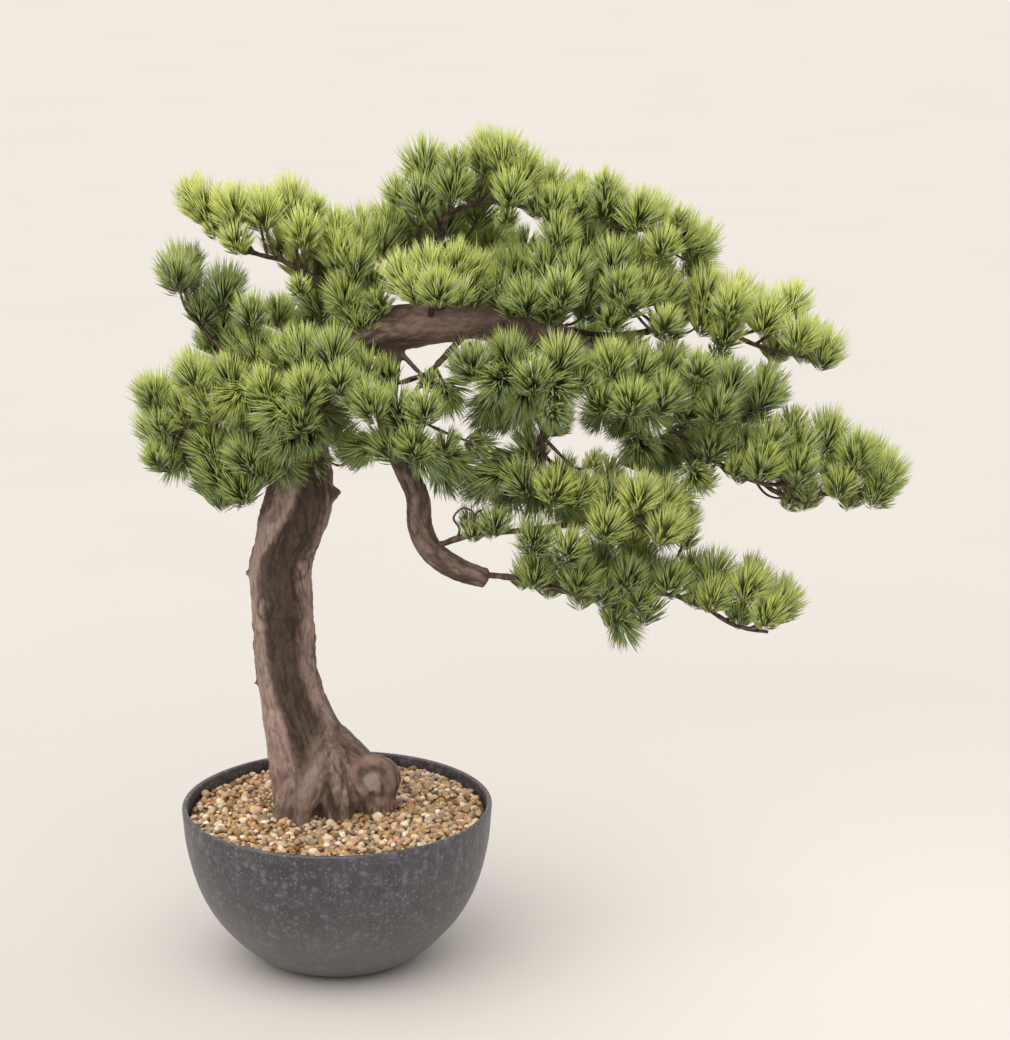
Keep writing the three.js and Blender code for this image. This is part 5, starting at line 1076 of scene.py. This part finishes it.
# places where the needles are painted brighter (painted light) or darker (painted shade):
PAINTED_LIGHT_AND_SHADE = [  # x, z, half width, half height, change of tone
    (106, 324, 42, 17, -0.34), (197, 281, 52, 17, -0.26), (190, 337, 54, 19, 0.32), (268, 423, 28, 22, -0.20),
    (237, 364, 28, 16, -0.18), (76, 556, 30, 26, -0.14), (-60, 352, 55, 17, -0.08), (300, 464, 52, 22, 0.12),
    (285, 265, 42, 20, 0.14), (-82, 392, 60, 22, 0.13), (146, 303, 28, 13, -0.30), (158, 346, 30, 14, 0.12),
]


def needle_material():
    m, nt, b = new_material("needle")
    uvn = nt.nodes.new("ShaderNodeUVMap")
    uvn.uv_map = "OFBake"
    sep = nt.nodes.new("ShaderNodeSeparateXYZ")
    nt.links.new(uvn.outputs[0], sep.inputs[0])
    u, v = sep.outputs[0], sep.outputs[1]
    # u past 0.92 gives the pale grey-green of the painted glints
    tipc = ramp(nt, u, [(0.0, lin("#687758")), (0.26, lin("#8d9c61")), (0.44, lin("#a9b768")), (0.6, lin("#c3d070")), (0.76, lin("#d9e27d")), (0.89, lin("#e5ec8d")), (0.925, lin("#bbcaac")), (1.0, lin("#c8d7be"))])
    midc = ramp(nt, u, [(0.0, lin("#586747")), (0.26, lin("#728256")), (0.46, lin("#89995b")), (0.68, lin("#a9b763")), (0.89, lin("#c3cf71")), (0.925, lin("#9aac8e")), (1.0, lin("#a7b899"))])
    rootc = ramp(nt, u, [(0.0, lin("#626e51")), (0.45, lin("#87935c")), (0.89, lin("#b1bd6d")), (0.925, lin("#8fa184")), (1.0, lin("#95a588"))])
    col = mix(nt, ramp(nt, v, [(0.08, grey(0)), (0.45, grey(1))]), rootc, midc)
    col = mix(nt, ramp(nt, v, [(0.45, grey(0)), (0.92, grey(1))]), col, tipc)
    nt.links.new(col, b.inputs["Base Color"])
    b.inputs["Roughness"].default_value = 0.58
    b.inputs["Specular IOR Level"].default_value = 0.2
    return m


def twig_material():
    m, nt, b = new_material("twig")
    uvn = nt.nodes.new("ShaderNodeUVMap")
    uvn.uv_map = "OFBake"
    geo = nt.nodes.new("ShaderNodeTexCoord")
    n1 = noise_tex(nt, geo.outputs["Object"], 260, 3, 0.6)
    n2 = noise_tex(nt, geo.outputs["Object"], 900, 2, 0.6)
    sep = nt.nodes.new("ShaderNodeSeparateXYZ")
    nt.links.new(uvn.outputs[0], sep.inputs[0])
    col = ramp(nt, n1, [(0.35, lin("#3a2d24")), (0.5, lin("#54433a")), (0.66, lin("#77655a"))])
    green = ramp(nt, n1, [(0.35, lin("#4a4c33")), (0.65, lin("#7c7f5a"))])
    col = mix(nt, ramp(nt, attribute(nt, "young"), [(0.2, grey(0)), (0.9, grey(0.8))]), col, green)
    nt.links.new(col, b.inputs["Base Color"])
    b.inputs["Roughness"].default_value = 0.7
    b.inputs["Specular IOR Level"].default_value = 0.3
    bump(nt, n2, 0.5, 0.0005, b)
    return m


needle_mat = needle_material()
twig_mat = twig_material()

BARE = {  # short bare twigs that curl below a stem: points in millimetres
    "far_right": [
        [(284.5, 7.6, 345.4), (287.5, 4.6, 337.4), (294.5, 2.6, 330.4), (304.5, 3.6, 328.4), (312.5, 5.6, 333.4), (315.5, 7.6, 341.4)],
    ],
    "right_low": [
        [(304.9, -14.0, 342.5), (308.9, -12.0, 333.5), (317.9, -11.0, 328.5), (326.9, -12.0, 333.5), (328.9, -13.0, 342.5)],
    ],
    "low_front": [
        [(84.1, -29.1, 308.1), (86.1, -31.1, 316.1), (82.1, -33.1, 324.1), (88.1, -34.1, 331.1), (95.1, -33.1, 328.1), (96.1, -32.1, 321.1)],
        [(93.4, -29.8, 311.3), (97.4, -32.8, 318.3), (96.4, -34.8, 326.3), (102.4, -35.8, 331.3)],
    ],
}

total_needles = 0
hearts = {k: np.mean([t[:3] for t in v[1]], axis=0) for k, v in SPRAYS.items()}
for name, (stem, tufts) in SPRAYS.items():
    stem = np.asarray(stem, float)
    P, tt = resample(stem, 3.6)
    f = np.linspace(0, 1, len(P))
    R = 2.3 + (1.25 - 2.3) * f
    bumps = lambda n, k: 1 + 0.10 * rng.standard_normal((n, 1)) + 0.05 * rng.standard_normal((n, k))
    V, F, al, an = tube(P, R, 8, wobble=bumps)
    vs, fs, yg = [V], [F], [np.zeros(len(V))]
    base = len(V)
    nv_, nf_, nuv = [], [], []
    nb = 0
    for tuft in tufts:
        root, mid, end, c, Rt, ax = shoot_path(stem, tuft)
        pts = np.array([root, mid, end, c + ax * 0.02 * Rt])
        Q, _ = resample(pts, 3.4)
        g = np.linspace(0, 1, len(Q))
        rad = 1.25 + (0.75 - 1.25) * g
        V, F, al, an = tube(Q, rad, 5, base=base, wobble=lambda n, k: 1 + 0.12 * rng.standard_normal((n, 1)))
        vs.append(V)
        fs.append(F)
        yg.append(np.r_[np.repeat(g, 5), 0, 1])
        base += len(V)
        height = smooth(-60, 60, (c[2] - crown_mid[2]) - 0.15 * abs(c[0] - crown_mid[0]))
        near_ = {k: math.exp(-(((c - h) * [1, 0.6, 1]) ** 2).sum() / (2 * 42.0**2)) for k, h in hearts.items()}
        field = sum(TONES[k] * v for k, v in near_.items()) / sum(near_.values())
        far = smooth(30, 75, np.linalg.norm(c - hearts[name]))
        tone_t = TONES[name] * (0.7 - 0.55 * far) + field * (0.3 + 0.55 * far) + rng.normal(0, 0.05)
        # tufts in those places painted brighter or darker: painted light and painted shade
        tone_t += sum(k_ * math.exp(-(((c[0] - x_) / rx_) ** 2) - ((c[2] + 0.33 * c[1] - z_) / rz_) ** 2) for x_, z_, rx_, rz_, k_ in PAINTED_LIGHT_AND_SHADE)
        a, b_, u_ = tuft_needles(end, c, Rt, ax, tone_t, int(NEEDLES * (Rt / 18.5) ** 1.6))
        nv_.append(a)
        nf_.append(b_ + nb)
        nuv.append(u_)
        nb += len(a)
    for pts in BARE.get(name, []):
        Q, _ = resample(np.array(pts, float), 2.2)
        V, F, al, an = tube(Q, np.linspace(1.0, 0.55, len(Q)), 5, base=base)
        vs.append(V)
        fs.append(F)
        yg.append(np.zeros(len(V)))
        base += len(V)
    V, F = np.vstack(vs), np.vstack(fs)
    tw = mesh_object("shoots_" + name, V, F, attrs=dict(young=np.concatenate(yg)))
    tw.data.materials.append(twig_mat)
    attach(tw, "root")
    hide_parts("twigs_" + name)
    tf = mesh_object("tufts_" + name, np.vstack(nv_), np.vstack(nf_), uv=np.vstack(nuv))
    tf.data.materials.append(needle_mat)
    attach(tf, "root")
    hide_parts("needles_" + name)
    total_needles += nb // 5
print("needles", total_needles)

# ---------------------------------------------------------------- gravel


def ico(sub):
    import bmesh

    bm = bmesh.new()
    bmesh.ops.create_icosphere(bm, subdivisions=sub, radius=1.0)
    bm.verts.ensure_lookup_table()
    V = np.array([v.co[:] for v in bm.verts])
    F = np.array([[v.index for v in f.verts] for f in bm.faces])
    bm.free()
    return V, F


BOWL_R = 102.4  # inside radius of the bowl at the gravel
GRAVEL_TOP = 107.0
rng = np.random.default_rng(77)


def bed_height(x, y):
    r = np.hypot(x, y)
    P = np.stack([x / 38, y / 38, x * 0 + 2.3], 1)
    return GRAVEL_TOP - 2.0 + 1.4 * noise3(P, 21) - 0.6 * smooth(70, 100, r) + 0.9 * (0.6 * x + 0.8 * y) / 100


spots = []
step = 4.65
rows = int(2 * BOWL_R / (step * 0.866)) + 2
for r_ in range(rows):
    y = -BOWL_R + r_ * step * 0.866
    for c_ in range(int(2 * BOWL_R / step) + 2):
        x = -BOWL_R + (c_ + 0.5 * (r_ % 2)) * step
        spots.append((x, y))
spots = np.array(spots) + rng.normal(0, 0.95, (len(spots), 2))
rr = np.hypot(spots[:, 0], spots[:, 1])
spots = spots[rr < BOWL_R - 2.4]
# none where the wood stands
inside = np.full(len(spots), 99.0)
for ln in limb_lines.values():
    low_ = np.abs(ln["P"][:, 2] - 106) < 9
    if low_.any():
        dd = np.linalg.norm(spots[:, None] - ln["P"][None, low_, :2], axis=2) - ln["R"][None, low_]
        inside = np.minimum(inside, dd.min(1))
spots = spots[inside > -4.5]
n_st = len(spots)
size = np.clip(rng.lognormal(math.log(2.62), 0.22, n_st), 1.6, 4.1)  # half length
IV, IF = ico(2)
keep = np.ones(n_st, bool)
sv, sf, suv = [], [], []
nb = 0
z0 = bed_height(spots[:, 0], spots[:, 1]) + rng.uniform(-0.7, 1.1, n_st)
for k in range(n_st):
    V = IV.copy()
    a, b_, c_ = size[k] * np.array([1.0, rng.uniform(0.7, 0.95), rng.uniform(0.52, 0.8)])
    off = rng.uniform(0, 90, 3)
    nn = noise3(IV * 0.85 + off, 31)
    # chipped faces: points past a few random planes are pulled back onto them
    for m_ in range(5):
        pn = unit(rng.normal(0, 1, 3))
        h_ = rng.uniform(0.62, 0.88)
        over = V @ pn - h_
        V = V - np.clip(over, 0, None)[:, None] * pn * 0.85
    V = V * (1 + 0.16 * nn[:, None])
    V = V * [a, b_, c_]
    yaw, tilt, roll = rng.uniform(0, 6.28), rng.normal(0, 0.38), rng.normal(0, 0.38)
    cy, sy, ct, st, cr_, sr = math.cos(yaw), math.sin(yaw), math.cos(tilt), math.sin(tilt), math.cos(roll), math.sin(roll)
    M = np.array([[cy, -sy, 0], [sy, cy, 0], [0, 0, 1]]) @ np.array([[ct, 0, st], [0, 1, 0], [-st, 0, ct]]) @ np.array([[1, 0, 0], [0, cr_, -sr], [0, sr, cr_]])
    V = V @ M.T + [spots[k, 0], spots[k, 1], z0[k]]
    u0, v0 = rng.uniform(0.02, 0.96), rng.uniform(0.02, 0.96)
    uv = np.stack([u0 + 0.009 * (IV[:, 0] + 1), v0 + 0.009 * (IV[:, 1] + 1)], 1)
    sv.append(V)
    sf.append(IF + nb)
    suv.append(uv)
    nb += len(V)
stones_v, stones_f, stones_uv = np.vstack(sv), np.vstack(sf), np.vstack(suv)
print("stones", n_st, "triangles", len(stones_f))
half = n_st // 2 + 1
for part, (lo_k, hi_k) in enumerate(((0, half), (half, n_st))):
    nvp, nfp = len(IV), len(IF)
    Vp = stones_v[lo_k * nvp : hi_k * nvp]
    Fp = stones_f[lo_k * nfp : hi_k * nfp] - lo_k * nvp
    st_ = mesh_object("stones_%s" % ("back" if part else "front"), Vp, Fp, uv=stones_uv[lo_k * nvp : hi_k * nvp])
    if part == 0:
        stone_parts = []
    stone_parts.append(st_)


def stone_material():
    m, nt, b = new_material("stone")
    uvn = nt.nodes.new("ShaderNodeUVMap")
    uvn.uv_map = "OFBake"
    sep = nt.nodes.new("ShaderNodeSeparateXYZ")
    nt.links.new(uvn.outputs[0], sep.inputs[0])
    u, v = sep.outputs[0], sep.outputs[1]
    col = ramp(nt, u, [
        (0.0, lin("#efe6d6")), (0.08, lin("#e3d3ba")), (0.15, lin("#d2b791")), (0.26, lin("#c6a67c")), (0.36, lin("#b48c5f")),
        (0.44, lin("#c9a083")), (0.52, lin("#a17a50")), (0.6, lin("#d8c5a4")), (0.67, lin("#83603f")), (0.74, lin("#bda98c")), (0.8, lin("#b58f4e")),
        (0.86, lin("#6a4d36")), (0.92, lin("#aa9c8a")), (0.96, lin("#54402f")), (1.0, lin("#e8dcc8"))])
    col = mix(nt, 1.0, col, ramp(nt, v, [(0.0, grey(0.66)), (0.5, grey(0.98)), (1.0, grey(1.2))]), "MULTIPLY")
    mot = noise_tex(nt, uvn.outputs[0], 260, 3, 0.65)
    col = mix(nt, 0.6, col, ramp(nt, mot, [(0.32, grey(0.62)), (0.5, grey(1.0)), (0.7, grey(1.3))]), "MULTIPLY")
    nt.links.new(col, b.inputs["Base Color"])
    b.inputs["Roughness"].default_value = 0.55
    b.inputs["Specular IOR Level"].default_value = 0.4
    geo = nt.nodes.new("ShaderNodeTexCoord")
    bump(nt, noise_tex(nt, geo.outputs["Object"], 1500, 3, 0.6), 0.35, 0.0004, b)
    return m


stone_mat = stone_material()
for st_ in stone_parts:
    st_.data.materials.append(stone_mat)
    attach(st_, "root")
    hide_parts("gravel")

# the bed of grit that shows between the stones, darker than them: partly the grit's own colour, partly painted shade in
# the gaps
na, nr = 96, 26
rad_ = np.linspace(0, 1, nr + 1)[1:] ** 0.9 * (BOWL_R - 0.5)
aa = np.arange(na) / na * 2 * np.pi
X = np.r_[0, np.outer(rad_, np.cos(aa)).ravel()]
Y = np.r_[0, np.outer(rad_, np.sin(aa)).ravel()]
Z = bed_height(X, Y) - 1.1 + 0.5 * noise3(np.stack([X / 2.5, Y / 2.5, X * 0], 1), 6)
top = np.stack([X, Y, Z], 1)
bot = np.stack([X[-na:] * 0.985, Y[-na:] * 0.985, np.full(na, 98.0)], 1)
V = np.vstack([top, bot, [0, 0, 98.0]])
F = []
for j in range(na):
    F.append((0, 1 + j, 1 + (j + 1) % na))
for k in range(nr - 1):
    for j in range(na):
        a0, a1 = 1 + k * na + j, 1 + k * na + (j + 1) % na
        b0, b1 = a0 + na, a1 + na
        F += [(a0, b0, b1), (a0, b1, a1)]
o0 = 1 + (nr - 1) * na
n_top = len(top)
for j in range(na):
    a0, a1 = o0 + j, o0 + (j + 1) % na
    b0, b1 = n_top + j, n_top + (j + 1) % na
    F += [(a0, b0, b1), (a0, b1, a1), (b0, n_top + na, b1)]
bed = mesh_object("grit_bed_and_gap_shade", V, np.array(F))


def grit_and_gap_shade_material():
    m, nt, b = new_material("grit_and_gap_shade")
    geo = nt.nodes.new("ShaderNodeTexCoord")
    vor = nt.nodes.new("ShaderNodeTexVoronoi")
    vor.inputs["Scale"].default_value = 620
    nt.links.new(geo.outputs["Object"], vor.inputs["Vector"])
    n1 = noise_tex(nt, geo.outputs["Object"], 420, 3, 0.6)
    col = ramp(nt, n1, [(0.3, lin("#4a3624")), (0.5, lin("#7d5c3a")), (0.7, lin("#a98557"))])
    nt.links.new(col, b.inputs["Base Color"])
    b.inputs["Roughness"].default_value = 0.85
    bump(nt, vor.outputs["Distance"], 0.7, 0.0012, b)
    return m


bed.data.materials.append(grit_and_gap_shade_material())
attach(bed, "root")
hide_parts("gravel")

# ---------------------------------------------------------------- bowl

OUT = [(0, 0.0), (44.5, 0.0), (46.4, 0.35), (48.0, 1.0), (50.5, 1.9), (57, 5.2), (65, 11), (75.5, 21), (88.5, 37.5), (98.5, 58.5), (104.9, 84), (107.5, 110.2)]
OUT_HI = [(0.0, 0.0), (30.0, 0.0), (43.5, 0.0), (45.6, 0.25), (47.2, 0.8)]
wall = np.array([(50.5, 1.9), (57, 5.2), (65, 11), (75.5, 21), (88.5, 37.5), (98.5, 58.5), (104.9, 84), (107.3, 108.2)])
wp = spline(np.c_[wall, np.zeros(len(wall))], np.linspace(0, 1, 46))[:, :2]
rim_c, rim_r = np.array([105.55, 110.1]), 1.85
ra = np.radians(np.linspace(-8, 188, 13))
rim = np.stack([rim_c[0] + rim_r * np.cos(ra), rim_c[1] + rim_r * np.sin(ra)], 1)
ins = np.array([(103.5, 108.0), (102.4, 96.5), (100.9, 84.5), (96.8, 67.0)])
ip = spline(np.c_[ins, np.zeros(len(ins))], np.linspace(0, 1, 16))[:, :2]
low_in = np.array([(94.6, 59.0), (84.6, 39.5), (72.5, 24.5), (62.5, 15.0), (50.0, 8.0), (30.0, 7.0), (0.0, 7.0)])
prof = np.vstack([OUT_HI, wp, rim, ip, low_in])
SEG = 144
ang_ = np.arange(SEG) / SEG * 2 * np.pi
V, F = [], []
ring_id = []
for (r_, z_) in prof:
    if r_ < 1e-6:
        ring_id.append([len(V)])
        V.append((0, 0, z_))
    else:
        ring_id.append(list(range(len(V), len(V) + SEG)))
        wob = 1 + 0.0009 * np.sin(3 * ang_ + 0.7 + z_ / 40) + 0.0006 * np.sin(7 * ang_ + z_ / 18)
        V += [(r_ * w_ * math.cos(a), r_ * w_ * math.sin(a), z_) for a, w_ in zip(ang_, wob)]
for A, B_ in zip(ring_id[:-1], ring_id[1:]):
    for j in range(SEG):
        j1 = (j + 1) % SEG
        if len(A) == 1:
            F.append((A[0], B_[j1], B_[j]))
        elif len(B_) == 1:
            F.append((A[j], A[j1], B_[0]))
        else:
            F += [(A[j], A[j1], B_[j1]), (A[j], B_[j1], B_[j])]
V = np.array(V)
bowl = mesh_object("bowl", V, np.array(F))


def bowl_material():
    m, nt, b = new_material("bowl")
    geo = nt.nodes.new("ShaderNodeTexCoord")
    o = geo.outputs["Object"]
    cloud = noise_tex(nt, o, 26, 4, 0.6, 0.6)
    fine = noise_tex(nt, o, 420, 3, 0.65)
    streak = noise_tex(nt, scaled(nt, o, (1, 1, 0.45)), 150, 3, 0.6, 0.8)
    col = ramp(nt, cloud, [(0.3, lin("#2c2b2f")), (0.5, lin("#353338")), (0.7, lin("#434145"))])
    col = mix(nt, ramp(nt, streak, [(0.48, grey(0)), (0.72, grey(0.6))]), col, lin("#626069"))
    col = mix(nt, ramp(nt, fine, [(0.3, grey(0.55)), (0.5, grey(0))]), col, lin("#2c2b30"))
    warp = nt.nodes.new("ShaderNodeVectorMath")
    warp.operation = "ADD"
    nz = nt.nodes.new("ShaderNodeTexNoise")
    nz.inputs["Scale"].default_value = 300
    nt.links.new(o, nz.inputs["Vector"])
    sc = nt.nodes.new("ShaderNodeVectorMath")
    sc.operation = "SCALE"
    sc.inputs["Scale"].default_value = 0.0036
    nt.links.new(nz.outputs["Color"], sc.inputs[0])
    nt.links.new(o, warp.inputs[0])
    nt.links.new(sc.outputs[0], warp.inputs[1])
    for scale, size_, colour, amount in ((300, 0.23, "#7e7c85", 0.48), (150, 0.24, "#6b6a72", 0.56), (480, 0.19, "#8d8b94", 0.38)):
        vor = nt.nodes.new("ShaderNodeTexVoronoi")
        vor.inputs["Scale"].default_value = scale
        nt.links.new(warp.outputs[0], vor.inputs["Vector"])
        sepc = nt.nodes.new("ShaderNodeSeparateColor")
        nt.links.new(vor.outputs["Color"], sepc.inputs[0])
        pick = ramp(nt, sepc.outputs[0], [(0.55, grey(0)), (0.62, grey(1))])
        dot = ramp(nt, vor.outputs["Distance"], [(size_ - 0.06, grey(1)), (size_ + 0.2, grey(0))])
        fac = mix(nt, 1.0, pick, dot, "MULTIPLY")
        fac = mix(nt, 1.0, fac, grey(amount), "MULTIPLY")
        col = mix(nt, fac, col, lin(colour))
    sepo = nt.nodes.new("ShaderNodeSeparateXYZ")
    nt.links.new(o, sepo.inputs[0])
    # the lower wall painted lighter towards the bottom, with a streaky edge: painted light thrown up from the floor
    height_ = math_node(nt, "ADD", math_node(nt, "MULTIPLY", sepo.outputs[2], 10.0), math_node(nt, "MULTIPLY", math_node(nt, "SUBTRACT", streak, 0.5), 0.9))
    low_painted_light = ramp(nt, height_, [(0.0, grey(0.8)), (0.3, grey(0.42)), (0.62, grey(0.08)), (0.9, grey(0))])
    col = mix(nt, low_painted_light, col, lin("#77736f"))
    # the lowest few millimetres painted darker: painted shade where the bowl meets the floor
    foot = ramp(nt, math_node(nt, "MULTIPLY", sepo.outputs[2], 10.0), [(0.0, grey(0.9)), (0.03, grey(0.6)), (0.07, grey(0))])
    col = mix(nt, foot, col, lin("#2a292c"))
    nt.links.new(col, b.inputs["Base Color"])
    b.inputs["Roughness"].default_value = 0.43
    b.inputs["Specular IOR Level"].default_value = 0.72
    n1 = bump(nt, fine, 0.25, 0.0006, b)
    bump(nt, cloud, 0.15, 0.002, b, n1)
    return m


bowl.data.materials.append(bowl_material())
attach(bowl, "root")
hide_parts("pot")

# packed soil under the gravel keeps its frame shape
soil, nt, b = new_material("soil")
geo = nt.nodes.new("ShaderNodeTexCoord")
n1 = noise_tex(nt, geo.outputs["Object"], 300, 4, 0.65)
nt.links.new(ramp(nt, n1, [(0.3, lin("#2b2018")), (0.6, lin("#4d3a2b")), (0.75, lin("#66503c"))]), b.inputs["Base Color"])
b.inputs["Roughness"].default_value = 0.95
bump(nt, n1, 0.6, 0.002, b)
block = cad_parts["planting_block"]
block.data.materials.clear()
block.data.materials.append(soil)

# ---------------------------------------------------------------- floor, light

bpy.ops.mesh.primitive_plane_add(size=60, location=(0, 0, 0))
floor = bpy.context.object
floor.name = "floor"
fm, nt, b = new_material("floor")
geo = nt.nodes.new("ShaderNodeTexCoord")
n1 = noise_tex(nt, geo.outputs["Object"], 3, 2, 0.5)
# a round patch of floor near the bowl, to its right, painted lighter: painted light that cancels the crown's shadow
away = nt.nodes.new("ShaderNodeVectorMath")
away.operation = "DISTANCE"
away.inputs[1].default_value = (0.32, 0.05, 0)
nt.links.new(geo.outputs["Object"], away.inputs[0])
painted_light_patch = ramp(nt, math_node(nt, "MULTIPLY", away.outputs["Value"], 0.5), [(0.04, grey(1)), (0.14, grey(0.45)), (0.28, grey(0))])
nt.links.new(mix(nt, painted_light_patch, ramp(nt, n1, [(0.3, lin("#c5c2bf")), (0.7, lin("#c7c4c1"))]), lin("#d8d4d0")), b.inputs["Base Color"])
b.inputs["Roughness"].default_value = 0.9
b.inputs["Specular IOR Level"].default_value = 0.1
floor.data.materials.append(fm)

world = bpy.data.worlds.new("world")
bpy.context.scene.world = world
world.use_nodes = True
bg = world.node_tree.nodes["Background"]
bg.inputs[0].default_value = lin("#f3eee8")
bg.inputs[1].default_value = 0.95


def sun(name, towards, energy, spread, colour="#ffffff"):
    ld = bpy.data.lights.new(name, "SUN")
    ld.energy = energy
    ld.angle = math.radians(spread)
    ld.color = lin(colour)[:3]
    ob = bpy.data.objects.new(name, ld)
    bpy.context.scene.collection.objects.link(ob)
    ob.rotation_euler = Vector(towards).to_track_quat("-Z", "Y").to_euler()
    ob.location = (0, 0, 3)
    return ob


sun("key", (0.36, 0.5, -1.0), 1.6, 75, "#fffaf2")
sun("top", (0.0, -0.1, -1.0), 0.9, 120, "#ffffff")

scene = bpy.context.scene
scene.view_settings.view_transform = "Standard"
scene.view_settings.look = "None"
scene.view_settings.exposure = 0.0
